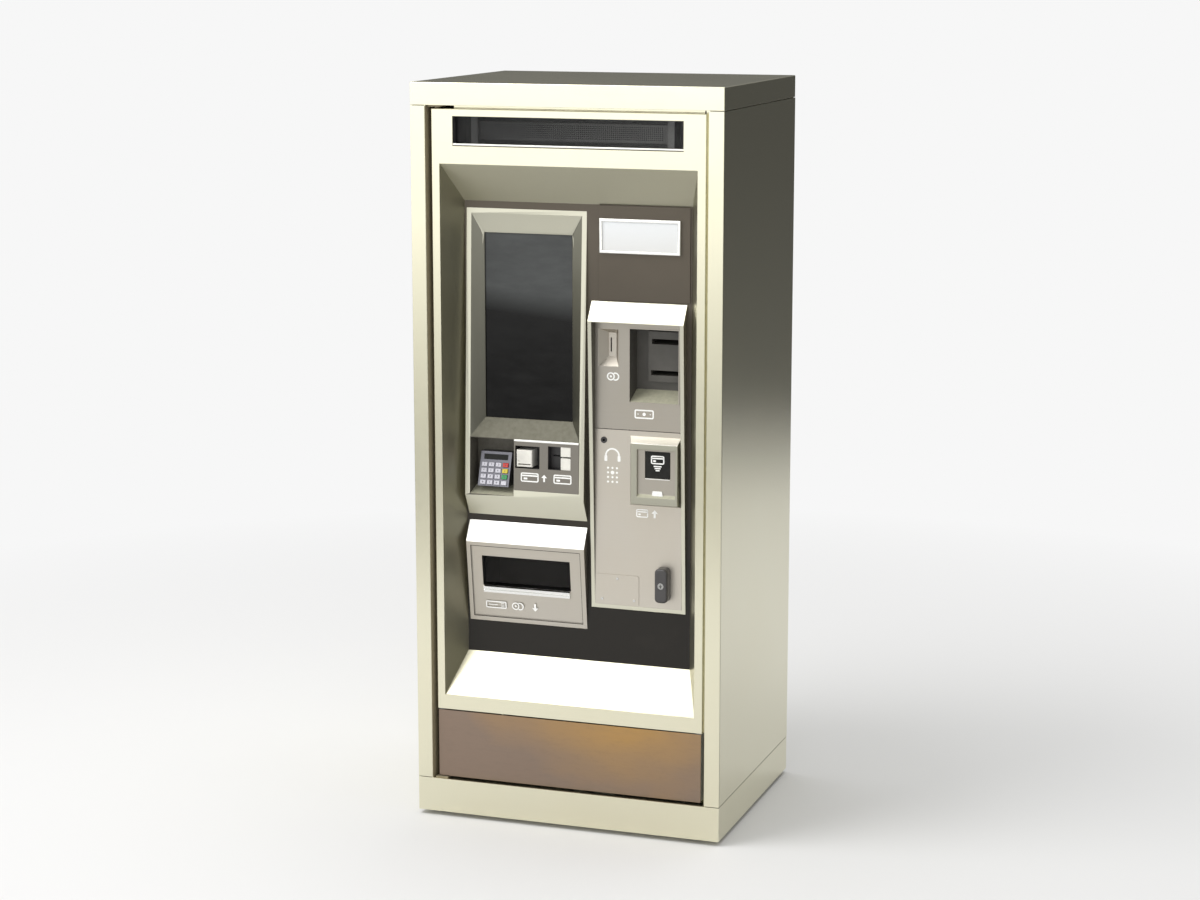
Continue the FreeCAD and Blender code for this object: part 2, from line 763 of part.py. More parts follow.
def ticket_reader():
    """Smart-ticket reader: a cheek on the right of its pocket with a slot across it."""
    cheek = block(-35, -9.5, 67, 104, 886.5, 943.5)
    back = block(-67.5, -35, 88, 104, 886.5, 943.5)
    body = join(cheek, back)
    slot = block(-62, -9, 60, 99, 916, 920)
    return cut(body, slot)


def payment_hood():
    x0, x1 = PAY_X
    wedge = prism_x(
        x0, x1, [(PANEL_D, PAY_BACK_TOP), PAY_FRONT, (PANEL_D - 1, PAY_LOW), (PANEL_D, PAY_LOW)]
    )
    inner_top = PAY_BACK_TOP - PAY_RIM
    front_top = PAY_FRONT[1] - PAY_RIM
    inner_low = PAY_LOW + PAY_RIM
    inner_side = [
        (PANEL_D + 1, inner_top),
        (40, front_top - 15),
        (40, inner_low),
        (PANEL_D + 1, inner_low),
    ]
    inner = prism_x(x0 + PAY_RIM, x1 - PAY_RIM, inner_side)
    return cut(wedge, inner)


def payment_upper_panel():
    x0 = PAY_X[0] + PAY_RIM
    x1 = PAY_X[1] - PAY_RIM
    plate = block(x0, x1, PAY_PLATE_D + 0.5, PAY_PLATE_D + 3, PAY_SEAM + SEAM_GAP, UPPER_PLATE_TOP)
    coin = block(COIN_CUP[0], COIN_CUP[1], 80, 95, COIN_CUP[2], COIN_CUP[3])
    bill = block(BILL_X[0], BILL_X[1], 80, 95, BILL_H[0], BILL_H[1])
    return cut(plate, coin, bill)


def payment_lower_panel():
    x0 = PAY_X[0] + PAY_RIM
    x1 = PAY_X[1] - PAY_RIM
    plate = block(x0, x1, PAY_PLATE_D, PAY_PLATE_D + 3, PAY_LOW + PAY_RIM, PAY_SEAM)
    jack = rod(JACK[0], 80, JACK[1], JACK_R + JACK_FIT, 20, V3(0, 1, 0))
    shaft = rod(HANDLE_X, 80, HANDLE_H, SHAFT_R + SHAFT_FIT, 20, V3(0, 1, 0))
    access = block(ACCESS[0] + 6, ACCESS[1] - 6, 80, 95, ACCESS[2] + 14, ACCESS[3] - 16)
    return cut(plate, jack, shaft, access)


def coin_mouth():
    x0, x1, h0, h1 = COIN_CUP
    body = block(x0, x1, PAY_PLATE_D, 112, h0, h1)
    cup = loft(rect(x0 + 1, x1 - 1, h0 + 1, h1 - 1, PAY_PLATE_D), rect(77, 96, 1170, 1228, 106))
    slot = block(COIN_SLOT[0], COIN_SLOT[1], 100, 120, COIN_SLOT[2], COIN_SLOT[3])
    return cut(body, cup, slot)


def coin_validator():
    """Coin checking unit behind the coin mouth, with its coin way on through it."""
    body = block(52, 112, 112, 236, 1100, 1262)
    way = prism_x(80, 85.5, [(110, 1180), (110, 1217), (190, 1180), (190, 1099), (160, 1099), (160, 1150)])
    cover = block(112, 116, 130, 220, 1120, 1240)
    return join(cut(body, way), cover)


def coin_chute():
    """Sheet-metal way, made from flat plates, that drops coins from the validator to the vault."""
    x0, x1 = CHUTE_X
    wall = THIN
    top, bend, elbow, foot = 1098.0, 760.0, 545.0, 296.0
    front, rear = 158.0, 194.0
    out_front, out_rear = 286.0, 322.0
    front_run = [(front, bend), (out_front, elbow), (out_front + wall, elbow), (front + wall, bend)]
    rear_run = [(rear - wall, bend), (out_rear - wall, elbow + 15), (out_rear, elbow + 15), (rear, bend)]
    cheek_bend = [(front, bend), (rear, bend), (out_rear, elbow + 15), (out_rear, elbow), (out_front, elbow)]
    plates = [
        block(x0, x1, front, front + wall, bend, top),
        block(x0, x1, rear - wall, rear, bend, top),
        prism_x(x0 + wall, x1 - wall, front_run),
        prism_x(x0 + wall, x1 - wall, rear_run),
        block(x0 + wall, x1 - wall, out_front, out_front + wall, foot, elbow),
        block(x0 + wall, x1 - wall, out_rear - wall, out_rear, foot, elbow + 15),
    ]
    for side in (x0, x1 - wall):
        plates.append(block(side, side + wall, front + wall, rear - wall, bend, top))
        plates.append(prism_x(side, side + wall, cheek_bend))
        plates.append(block(side, side + wall, out_front, out_rear, foot, elbow))
    return plates


def bill_throat():
    """Deep rectangular throat with a sloping sill that leads to the note slots."""
    x0, x1 = BILL_X
    h0, h1 = BILL_H
    outer = block(x0, x1, PAY_PLATE_D - 1, BILL_D, h0, h1)
    inner_side = [
        (70, h0 + SHEET),
        (PAY_PLATE_D, h0 + SHEET),
        (BILL_D + 1, BILL_SILL_TOP),
        (BILL_D + 1, h1 - SHEET),
        (70, h1 - SHEET),
    ]
    inner = prism_x(x0 + SHEET, x1 - SHEET, inner_side)
    return cut(outer, inner)


def bill_acceptor():
    """Note validator; its black face closes the throat and has a slot for notes each way."""
    x0 = BILL_X[0]
    x1 = BILL_X[1]
    face = block(x0, x1, BILL_D, BILL_D + 6, BILL_H[0], BILL_H[1])
    body = block(x0 + 6, x1 - 6, BILL_D + 6, 262, 1066, 1250)
    nose = block(168, x1 - 3.5, BILL_D - 12, BILL_D, 1108, 1232)
    whole = join(face, body, nose)
    upper_side = [(128, 1201), (136, 1201), (200, 1205), (200, 1209), (136, 1213), (128, 1213)]
    upper = prism_x(178, x1 - 8, upper_side)
    lower = prism_x(176, x1 - 8, [(128, 1124), (200, 1127), (200, 1133), (128, 1136)])
    return cut(whole, upper, lower)


def note_cassette():
    """Lidded stacker box that drops onto the validator from above."""
    body = block(146, 254, 168, 258, 1250 + GAP, 1470)
    strap = block(176, 224, 206, 220, 1470, 1490)
    finger_gap = block(183, 217, 200, 226, 1470, 1484)
    return join(body, cut(strap, finger_gap))


def audio_jack():
    outer = rod(JACK[0], 86.5, JACK[1], JACK_R, 24, V3(0, 1, 0))
    bore = rod(JACK[0], 80, JACK[1], 3.2, 26, V3(0, 1, 0))
    return cut(outer, bore)


def tap_reader():
    body = loft(rect(*READER_BACK, PAY_PLATE_D), rect(*READER_FRONT, READER_D))
    x0, x1, h0, h1 = READER_PLATE
    sunk = READER_D + READER_SINK
    plate_side = [(50, h0 - 4), (READER_D, h0 - 4), (sunk, h0 + 3), (sunk, h1), (50, h1)]
    plate = prism_x(x0, x1, plate_side)
    wx0, wx1, wh0, wh1 = READER_WINDOW
    window = block(wx0, wx1, 50, READER_D + 10, wh0, wh1)
    return cut(body, plate, window)


def access_plate():
    x0, x1, h0, h1 = ACCESS
    plate = block(x0, x1, PAY_PLATE_D - 1.5, PAY_PLATE_D, h0, h1)

    def corner(edge, x, d, h):
        return near(x, x1) and near(h, h1)

    return soften(plate, 6.0, corner)


# ---------------------------------------------------------------- lock
def lock_handle():
    """Rounded turn handle and its shaft; the shaft carries the pinion behind the panel."""
    plane = PAY_PLATE_D - 1.0
    half_w = HANDLE_W / 2
    half_l = HANDLE_L / 2
    x0 = HANDLE_X - half_w
    x1 = HANDLE_X + half_w
    grip = block(x0, x1, plane - HANDLE_PROUD, plane, HANDLE_H - half_l, HANDLE_H + half_l)

    def upright(edge, x, d, h):
        return near(d, plane - HANDLE_PROUD / 2)

    grip = soften(grip, 11.0, upright)
    front = [e for e in grip.Edges if near(e.CenterOfMass.y, plane - HANDLE_PROUD - BODY_D / 2)]
    grip = grip.makeFillet(6.0, front)
    bore = rod(HANDLE_X, plane - HANDLE_PROUD - 1, HANDLE_H, KEY_R + SHAFT_FIT, 19, V3(0, 1, 0))
    shaft = rod(HANDLE_X, plane, HANDLE_H, SHAFT_R, BOLT_D[0] - plane, V3(0, 1, 0))
    return join(cut(grip, bore), shaft, pinion())


def gear_tooth(angle, radius):
    """One slim tapered tooth, drawn about the handle's axis."""
    root = radius - 3.6
    tip = radius + 2.2
    points = []
    for r, half in ((root, 2.5), (tip, 0.9)):
        points.append((r, -half))
        points.append((r, half))
    order = [points[0], points[2], points[3], points[1]]
    corners = []
    for r, side in order:
        x = r * math.cos(angle) - side * math.sin(angle)
        z = r * math.sin(angle) + side * math.cos(angle)
        corners.append(V(HANDLE_X + x, BOLT_D[0], HANDLE_H + z))
    face = Part.Face(Part.makePolygon(corners + corners[:1]))
    return face.extrude(V3(0, BOLT_D[1] - BOLT_D[0], 0))


def pinion():
    disc = rod(HANDLE_X, BOLT_D[0], HANDLE_H, PINION_R - 2.8, BOLT_D[1] - BOLT_D[0], V3(0, 1, 0))
    teeth = []
    for step in range(PINION_TEETH):
        teeth.append(gear_tooth(math.pi / 2 + step * 2 * math.pi / PINION_TEETH, PINION_R))
    return join(disc, *teeth)


def lock_bolt():
    """Flat bar above the pinion, with a rack along its lower edge and a rounded nose."""
    pitch = 2 * math.pi * PINION_R / PINION_TEETH
    low = RACK_LOW
    bar = block(BOLT_TAIL, BOLT_TIP, BOLT_D[0], BOLT_D[1], low, low + BOLT_TALL)

    def nose(edge, x, d, h):
        return near(x, BOLT_TIP) and near(d, (BOLT_D[0] + BOLT_D[1]) / 2)

    bar = soften(bar, 3.0, nose)
    teeth = []
    for step in range(-3, 7):
        x = HANDLE_X + (step - 0.5) * pitch - pitch * 3
        if x < BOLT_TAIL + 4 or x > BOLT_TIP - 20:
            continue
        outline = [(x - 2.4, low), (x - 0.9, low - 5.2), (x + 0.9, low - 5.2), (x + 2.4, low)]
        points = [V(px, BOLT_D[0], ph) for px, ph in outline]
        face = Part.Face(Part.makePolygon(points + points[:1]))
        teeth.append(face.extrude(V3(0, BOLT_D[1] - BOLT_D[0], 0)))
    return join(bar, *teeth)


def bolt_guides():
    """Two loops on the lower payment panel that the bolt slides through, with their legs."""
    loops = []
    low = RACK_LOW
    high = low + BOLT_TALL
    for x in (200.0, 256.0):
        outer = block(x, x + 10, PAY_PLATE_D + 3, BOLT_D[1] + 4, low - 6, high + 5)
        hole = block(x - 1, x + 11, BOLT_D[0] - 0.3, BOLT_D[1] + 0.3, low - 6.5, high + 0.3)
        loops.append(cut(outer, hole))
    return group(loops)


def key_cylinder():
    plane = PAY_PLATE_D - 1.0 - HANDLE_PROUD
    barrel = rod(HANDLE_X, plane - 0.8, HANDLE_H, KEY_R, 18.0, V3(0, 1, 0))
    rim = [e for e in barrel.Edges if near(e.CenterOfMass.y, plane - 0.8 - BODY_D / 2)]
    barrel = barrel.makeFillet(0.7, rim)
    ring = rod(HANDLE_X, plane - 2, HANDLE_H, 3.0, 6, V3(0, 1, 0))
    keyway = block(HANDLE_X - 0.8, HANDLE_X + 0.8, plane - 2, plane + 8, HANDLE_H - 5.0, HANDLE_H + 5.0)
    return cut(barrel, ring, keyway)


# ---------------------------------------------------------------- return module
def return_line(h):
    return on_plane((PANEL_D - 0.5, RETURN_LOW), RETURN_FRONT, h)


def return_hood():
    x0, x1 = RETURN_X
    outline = [(PANEL_D, RETURN_BACK_TOP), RETURN_FRONT, (PANEL_D - 0.5, RETURN_LOW), (PANEL_D, RETURN_LOW)]
    wedge = prism_x(x0, x1, outline)
    low = RETURN_LOW + RETURN_RIM
    high = RETURN_FRONT[1] - RETURN_RIM
    inner = prism_x(
        x0 + RETURN_RIM,
        x1 - RETURN_RIM,
        [(40, low), (PANEL_D + 1, low), (PANEL_D + 1, high + 24), (return_line(high) + 12, high), (40, high)],
    )
    return cut(wedge, inner)


def return_plate():
    """Sloping face plate inside the return hood, with the window to the tray."""
    x0 = RETURN_X[0] + RETURN_RIM
    x1 = RETURN_X[1] - RETURN_RIM
    low = RETURN_LOW + RETURN_RIM
    high = RETURN_FRONT[1] - RETURN_RIM
    set_in = 3.0
    outline = [
        (return_line(low) + set_in, low),
        (return_line(high) + set_in, high),
        (return_line(high) + set_in + 3, high),
        (return_line(low) + set_in + 3, low),
    ]
    plate = prism_x(x0, x1, outline)
    window = block(WINDOW_X[0], WINDOW_X[1], 50, 110, WINDOW_H[0], WINDOW_H[1])
    return cut(plate, window)


def return_sill():
    """Double lip along the foot of the return window."""
    x0 = WINDOW_X[0] + 2
    x1 = WINDOW_X[1] - 2

    def plate_face(h):
        return return_line(h) + 3.0

    face = plate_face(569)
    upper = prism_x(x0, x1, [(face - 6, 569), (face - 6, 575), (plate_face(578), 578), (face, 569)])
    lower = prism_x(x0, x1, [(face - 3, 560), (face - 3, 566), (face, 569), (plate_face(560), 560)])
    return join(upper, lower)


def return_tray():
    """Open-fronted cup that catches tickets and coins behind the window."""
    x0 = WINDOW_X[0] - 3
    x1 = WINDOW_X[1] + 3
    back = TRAY_D
    front = return_line(566) + 7
    shell_side = [
        (front, 566),
        (back, 552),
        (back, TRAY_TOP),
        (front + 8, TRAY_TOP),
        (front + 8, 690),
        (front, 664),
    ]
    shell = prism_x(x0, x1, shell_side)
    inner = prism_x(
        x0 + 2,
        x1 - 2,
        [(front - 1, 574), (front + 20, 558), (back - 2, 558), (back - 2, 710), (front + 10, 710),
         (front + 10, 690), (front + 2, 664), (front - 1, 664)],
    )
    chute = block(-190, -70, 150, 190, 700, 720)
    return join(cut(shell, inner, chute), return_sill(), flap_pin())


def return_flap():
    """Clear flap hung from its top edge inside the tray; it swings inwards."""
    x0 = WINDOW_X[0] + 3
    x1 = WINDOW_X[1] - 3
    plate = block(x0, x1, FLAP_D + 6, FLAP_D + 9, FLAP_TOP - FLAP_DROP, FLAP_TOP)
    barrel = rod(x0, FLAP_D + 7.5, FLAP_TOP, 3.4, x1 - x0, V3(1, 0, 0))
    bore = rod(x0 - 1, FLAP_D + 7.5, FLAP_TOP, 1.56, x1 - x0 + 2, V3(1, 0, 0))
    return cut(join(plate, barrel), bore)


def flap_pin():
    x0 = WINDOW_X[0] - 1
    x1 = WINDOW_X[1] + 1
    return rod(x0, FLAP_D + 7.5, FLAP_TOP, 1.5, x1 - x0, V3(1, 0, 0))


# ---------------------------------------------------------------- ticket printing
PRINTER_X = (-200.0, -60.0)
ROLL_D = 268.0
ROLL_H = 628.0
ROLL_R = 62.0
ROLL_X = (-172.0, -88.0)
SPINDLE_R = 9.0
SPINDLE_FIT = 0.08


def ticket_printer():
    body = block(PRINTER_X[0], PRINTER_X[1], 140, 226, 724, 800)
    guide = prism_x(-186, -74, [(150, 712.5), (188, 712.5), (188, 724), (150, 724)])
    slot = block(-172, -88, 165, 171, 700, 790)
    platen = block(-194, -66, 226, 236, 744, 784)
    return cut(join(body, guide, platen, roll_bracket()), slot)


def roll_bracket():
    """Two cheeks under the printer that hold the roll's spindle."""
    plate_1 = block(-186, -182, 200, 290, ROLL_H - 40, 724)
    plate_2 = block(-78, -74, 200, 290, ROLL_H - 40, 724)
    bridge = block(-186, -74, 228, 290, 720, 724)
    spindle = rod(-182, ROLL_D, ROLL_H, SPINDLE_R, 104, V3(1, 0, 0))
    return join(plate_1, plate_2, bridge, spindle)


def ticket_roll():
    x0, x1 = ROLL_X
    paper = rod(x0, ROLL_D, ROLL_H, ROLL_R, x1 - x0, V3(1, 0, 0))
    bore = rod(x0 - 1, ROLL_D, ROLL_H, SPINDLE_R + SPINDLE_FIT, x1 - x0 + 2, V3(1, 0, 0))
    return cut(paper, bore)


# ---------------------------------------------------------------- write every piece
def main():
    os.makedirs("parts", exist_ok=True)
    save("levelling_feet", levelling_feet())
    save("base_plinth", base_plinth())
    save("left_side_panel", group(side_panel(-1)))
    save("right_side_panel", group(side_panel(1) + [lock_keeper()]))
    save("top_cap", top_cap())
    save("rear_panel", rear_panel())
    save("door_hinges", door_hinges())
    save("equipment_shelf", equipment_shelf())
    save("power_supply", power_supply())
    save("machine_computer", machine_computer())
    save("coin_vault", coin_vault())
    save("door_skin", door_skin())
    save("door_frame", door_frame())
    save("kick_panel", kick_panel())
    save("recess_surround", recess_surround())
    save("module_panel", module_panel())
    save("sign_housing", sign_housing())
    save("notice_frame", join(notice_plate(), notice_frame()))
    save("notice_card", notice_card())
    save("screen_hood", screen_hood())
    save("screen_glass", screen_glass())
    save("display_unit", display_unit())
    save("keypad_body", keypad_body())
    for row in range(KEY_ROWS):
        for column in range(KEY_COLUMNS):
            save("key_%d%d" % (row + 1, column + 1), key(row, column))
    save("card_panel", card_panel())
    save("card_housing", card_housing())
    save("card_readers", group([card_reader(), ticket_reader()]))
    save("payment_hood", payment_hood())
    save("payment_upper_panel", join(payment_upper_panel(), bill_throat()))
    save("payment_lower_panel", join(payment_lower_panel(), bolt_guides()))
    save("coin_mouth", coin_mouth())
    save("coin_validator", group([coin_validator()] + coin_chute()))
    save("bill_acceptor", bill_acceptor())
    save("note_cassette", note_cassette())
    save("audio_jack", audio_jack())
    save("tap_reader", tap_reader())
    save("access_plate", access_plate())
    save("lock_handle", lock_handle())
    save("key_cylinder", key_cylinder())
    save("lock_bolt", lock_bolt())
    save("return_hood", join(return_hood(), return_plate()))
    save("return_tray", return_tray())
    save("return_flap", return_flap())
    save("ticket_printer", ticket_printer())
    save("ticket_roll", ticket_roll())
    print(len(SAVED), "nodes")


main()
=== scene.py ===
import json
import math

import bmesh
import bpy
from mathutils import Matrix, Vector


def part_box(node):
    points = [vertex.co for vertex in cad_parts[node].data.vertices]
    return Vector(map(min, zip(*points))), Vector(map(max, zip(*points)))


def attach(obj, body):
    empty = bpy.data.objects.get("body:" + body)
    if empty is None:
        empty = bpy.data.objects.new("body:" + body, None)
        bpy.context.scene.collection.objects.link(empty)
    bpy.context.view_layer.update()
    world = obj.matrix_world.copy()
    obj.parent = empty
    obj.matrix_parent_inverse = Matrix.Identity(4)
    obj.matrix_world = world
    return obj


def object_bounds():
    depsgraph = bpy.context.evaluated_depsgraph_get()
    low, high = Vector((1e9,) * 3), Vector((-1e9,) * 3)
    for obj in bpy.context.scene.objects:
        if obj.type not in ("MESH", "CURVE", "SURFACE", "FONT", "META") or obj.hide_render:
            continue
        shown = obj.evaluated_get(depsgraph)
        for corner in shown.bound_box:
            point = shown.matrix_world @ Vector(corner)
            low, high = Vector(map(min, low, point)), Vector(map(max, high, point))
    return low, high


bl_info = {
    "name": "Ticket Vending Machine Finish",
    "version": (1, 0, 0),
    "blender": (4, 5, 0),
    "location": "3D View > Sidebar > Ticket Machine",
    "description": "Finishes a packed ticket vending machine: metals, plastics, glass, picture signs and fasteners",
    "category": "Object",
}

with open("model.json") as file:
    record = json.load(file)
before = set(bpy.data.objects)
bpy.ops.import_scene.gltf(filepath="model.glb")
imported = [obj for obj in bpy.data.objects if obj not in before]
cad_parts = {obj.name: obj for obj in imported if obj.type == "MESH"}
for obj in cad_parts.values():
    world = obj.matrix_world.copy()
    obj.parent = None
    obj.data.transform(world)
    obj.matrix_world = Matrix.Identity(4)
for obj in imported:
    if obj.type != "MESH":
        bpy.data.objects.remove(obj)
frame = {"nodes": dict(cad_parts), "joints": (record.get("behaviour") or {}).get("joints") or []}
CAD_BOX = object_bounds()
NODES = frame["nodes"]

OUT = Vector((0.0, -1.0, 0.0))      # towards the user
BACK = Vector((0.0, 1.0, 0.0))
UP = Vector((0.0, 0.0, 1.0))
ACROSS = Vector((1.0, 0.0, 0.0))

# The studio floor glows into the backdrop between these reaches, and fades out over its outer part.
BACKDROP_FROM = 0.9
BACKDROP_TO = 3.6
FLOOR_FADE_FROM = 0.62
FRONT_PULL = 0.45
BRIGHT_SIDE = (-0.60, -0.80, 0.0)   # the surroundings are brightest this way
REFLECTION_LEAN = 0.10                    # how far the screen's painted reflection leans, as a slope

# How squarely a face has to look along an axis to be picked out.
SQUARE = 0.9
HALFWAY = 0.5
LEANING = 0.35
SLIGHT = 0.3
RIM = 0.002                         # the outer side walls lie within this of a piece's sides

KEY_FACES = (
    ("1", "2", "3", "cross"),
    ("4", "5", "6", "arrow"),
    ("7", "8", "9", "ring"),
    ("star", "0", "hash", "blank"),
)
LEGEND_FILM = 0.00015
LEGEND_SIZE = 0.0072


# ------------------------------------------------------------------ settings
def colour_setting(name, description, default):
    return bpy.props.FloatVectorProperty(
        name=name, description=description, default=default, size=3, subtype="COLOR", min=0.0, max=1.0
    )


def length_setting(name, description, default):
    return bpy.props.FloatProperty(
        name=name, description=description, default=default, unit="LENGTH", subtype="DISTANCE", min=0.0
    )


def amount_setting(name, description, default):
    return bpy.props.FloatProperty(name=name, description=description, default=default, min=0.0)


class TVM_PG_finish(bpy.types.PropertyGroup):
    """Colours of the machine's metals and plastics."""

    steel: colour_setting("Steel", "Champagne tint of the cabinet and the door", (0.745, 0.72, 0.565))
    hood: colour_setting("Hoods", "Satin steel of the hoods and rims", (0.60, 0.59, 0.49))
    plates: colour_setting("Face plates", "Greyer blasted steel of the module plates", (0.50, 0.47, 0.42))
    kick: colour_setting("Kick panel", "Bronze tone of the kick panel", (0.245, 0.185, 0.145))
    dark: colour_setting("Module panel", "Dark coating behind the modules", (0.0125, 0.0105, 0.0080))
    plastic: colour_setting("Black plastic", "Moulded housings and the turn handle", (0.035, 0.033, 0.033))
    cream: colour_setting("Cream plastic", "Card reader noses", (0.78, 0.76, 0.70))
    picture: colour_setting("Picture signs", "Printed picture signs on the plates", (0.92, 0.92, 0.90))
    edge_round: length_setting("Edge rounding", "Width of the rounded sheet edges", 0.0009)


class TVM_PG_signs(bpy.types.PropertyGroup):
    """Sizes of the printed picture signs and small fittings."""

    stroke: length_setting("Stroke", "Line width of the picture signs", 0.0034)
    film: length_setting("Film", "Thickness of the printed film", 0.0003)
    coin_size: length_setting("Coin size", "Height of the coin picture", 0.017)
    screw_radius: length_setting("Screw radius", "Radius of the plate screw heads", 0.0034)


class TVM_PG_studio(bpy.types.PropertyGroup):
    """Camera, floor and lights."""

    lens: bpy.props.FloatProperty(name="Lens", description="Focal length", default=79.09, unit="CAMERA", min=1.0)
    camera_place: bpy.props.FloatVectorProperty(
        name="Camera place", description="Where the camera stands", default=(2.1318, -6.2227, 2.1555), size=3,
        unit="LENGTH", subtype="TRANSLATION",
    )
    camera_view: bpy.props.FloatVectorProperty(
        name="Camera direction", description="Where the camera looks", default=(-0.3210, 0.9285, -0.1866), size=3,
        subtype="DIRECTION",
    )
    floor_size: length_setting("Floor size", "Radius of the floor", 6.4)
    floor_colour: colour_setting("Floor", "Pale studio floor", (0.84, 0.84, 0.85))
    floor_seen: amount_setting("Floor shade", "How dark the floor itself looks beside its reflection", 0.92)
    backdrop: colour_setting("Backdrop", "What shows behind the machine", (0.93, 0.93, 0.93))
    sky_strength: amount_setting("Surroundings", "Strength of the light from all round", 1.75)
    key_power: amount_setting("Key light", "Power of the main soft light", 150.0)
    top_power: amount_setting("Top light", "Power of the overhead light", 60.0)


def finish_settings():
    return bpy.context.scene.tvm_finish


def sign_settings():
    return bpy.context.scene.tvm_signs


# ------------------------------------------------------------------ material parts
def shade(colour, amount):
    return tuple(max(0.0, min(1.0, c * amount)) for c in colour)


class Recipe:
    """The node tree of a material or of the surroundings, with short ways to add to it."""

    def __init__(self, owner, coordinates="Object"):
        owner.use_nodes = True
        self.owner = owner
        self.tree = owner.node_tree
        self.shader = self.tree.nodes.get("Principled BSDF")
        self.place = self.node("ShaderNodeTexCoord").outputs[coordinates]

    def feed(self, socket, value):
        """Set a socket to a plain value, or link the output that drives it."""
        if isinstance(value, bpy.types.NodeSocket):
            self.tree.links.new(value, socket)
        else:
            socket.default_value = value

    def node(self, kind, inputs=None, **options):
        node = self.tree.nodes.new(kind)
        for key, value in options.items():
            setattr(node, key, value)
        for key, value in (inputs or {}).items():
            self.feed(node.inputs[key], value)
        return node

    def dress(self, sockets):
        """Set or link sockets of the surface shader."""
        for key, value in sockets.items():
            self.feed(self.shader.inputs[key], value)

    def axis(self, letter):
        return self.node("ShaderNodeSeparateXYZ", {0: self.place}).outputs[letter]

    def stretched(self, scale):
        return self.node("ShaderNodeMapping", {"Scale": scale, "Vector": self.place}).outputs["Vector"]

    def noise(self, scale, detail=4.0, rough=0.55, vector=None):
        if vector is None:
            vector = self.place
        sockets = {"Scale": scale, "Detail": detail, "Roughness": rough, "Vector": vector}
        return self.node("ShaderNodeTexNoise", sockets).outputs["Fac"]

    def remap(self, value, low, high, from_low=0.3, from_high=0.7):
        sockets = {"Value": value, "From Min": from_low, "From Max": from_high, "To Min": low, "To Max": high}
        return self.node("ShaderNodeMapRange", sockets).outputs["Result"]

    def blend(self, factor, first, second):
        sockets = {"Factor": factor}
        for key, value in ((6, first), (7, second)):
            sockets[key] = (*value, 1.0) if isinstance(value, tuple) else value
        return self.node("ShaderNodeMix", sockets, data_type="RGBA").outputs[2]

    def reckon(self, operation, *values):
        return self.node("ShaderNodeMath", dict(enumerate(values)), operation=operation).outputs[0]

    def add(self, first, second):
        return self.reckon("ADD", first, second)

    def measure(self, operation, *vectors):
        """The single number that a vector sum gives, such as a distance."""
        return self.node("ShaderNodeVectorMath", dict(enumerate(vectors)), operation=operation).outputs["Value"]

    def bump(self, height, strength, distance):
        sockets = {"Strength": strength, "Distance": distance, "Height": height}
        self.dress({"Normal": self.node("ShaderNodeBump", sockets).outputs["Normal"]})

    def speckle(self, pattern, colour, share, smooth, rough):
        """A colour that drifts with a pattern to a share of itself, and a roughness that drifts with it."""
        tint = self.blend(self.remap(pattern, 0.0, 1.0), colour, shade(colour, share))
        self.dress({"Base Color": tint, "Roughness": self.remap(pattern, smooth, rough)})


def new_recipe(name):
    return Recipe(bpy.data.materials.new(name))


GRAIN_SCALES = {
    "up": (900.0, 900.0, 3.0),
    "across": (3.0, 900.0, 900.0),
    "deep": (900.0, 3.0, 900.0),
}


def brushed_steel(name, colour, roughness=0.30, grain="up", mottle=0.02, streak=0.02, wear=0.008):
    """Brushed sheet: fine lines along the grain, soft cloudy wear and a faint warmer stain."""
    r = new_recipe(name)
    lines = r.noise(1.0, 3.0, 0.6, r.stretched(GRAIN_SCALES[grain]))
    clouds = r.noise(2.6, 5.0, 0.6)
    specks = r.noise(55.0, 2.0, 0.5)
    worn = r.add(r.remap(lines, -streak / 2, streak / 2), r.remap(clouds, roughness - wear, roughness + wear))
    worn = r.add(worn, r.remap(specks, -0.005, 0.005))
    warm = (colour[0] * (1 - mottle * 0.5), colour[1] * (1 - mottle), colour[2] * (1 - mottle * 2.0))
    tint = r.blend(r.remap(clouds, 0.0, 1.0), colour, warm)
    tint = r.blend(r.remap(lines, 0.0, 0.25), tint, shade(colour, 0.95))
    r.dress({"Base Color": tint, "Roughness": worn, "Metallic": 1.0})
    r.bump(lines, 0.003, 0.0001)
    return r.owner


def flat_paint(name, colour):
    """Matt primer with sprayed mottling."""
    r = new_recipe(name)
    spray = r.noise(90.0, 4.0, 0.6)
    r.speckle(spray, colour, 0.82, 0.55, 0.70)
    r.bump(spray, 0.05, 0.0002)
    return r.owner


def stained_bronze(name, colour):
    """Bronze-toned kick panel, scuffed, and warmer orange in a broad patch right of its middle."""
    r = new_recipe(name)
    low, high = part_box("kick_panel")
    squeeze = 0.55 / (high.z - low.z)
    patch = (0.22, 0.0, high.z * squeeze)
    spread = r.measure("DISTANCE", r.stretched((1.0 / (high.x - low.x), 0.0, squeeze)), patch)
    lines = r.noise(1.0, 3.0, 0.6, r.stretched(GRAIN_SCALES["across"]))
    patches = r.noise(2.2, 3.0, 0.5, r.stretched((1.6, 1.0, 3.2)))
    scuffs = r.noise(3.0, 6.0, 0.7, r.stretched((9.0, 1.0, 30.0)))
    warm = r.add(r.remap(spread, 0.95, -0.15, 0.10, 0.66), r.remap(patches, -0.22, 0.22))
    tint = r.blend(warm, colour, (0.40, 0.245, 0.100))
    tint = r.blend(r.remap(scuffs, 0.0, 0.18, 0.5, 0.75), tint, shade(colour, 0.65))
    rough = r.add(r.remap(lines, -0.05, 0.05), r.remap(patches, 0.34, 0.46))
    r.dress({"Base Color": tint, "Roughness": rough, "Metallic": 1.0})
    r.bump(lines, 0.06, 0.0002)
    return r.owner


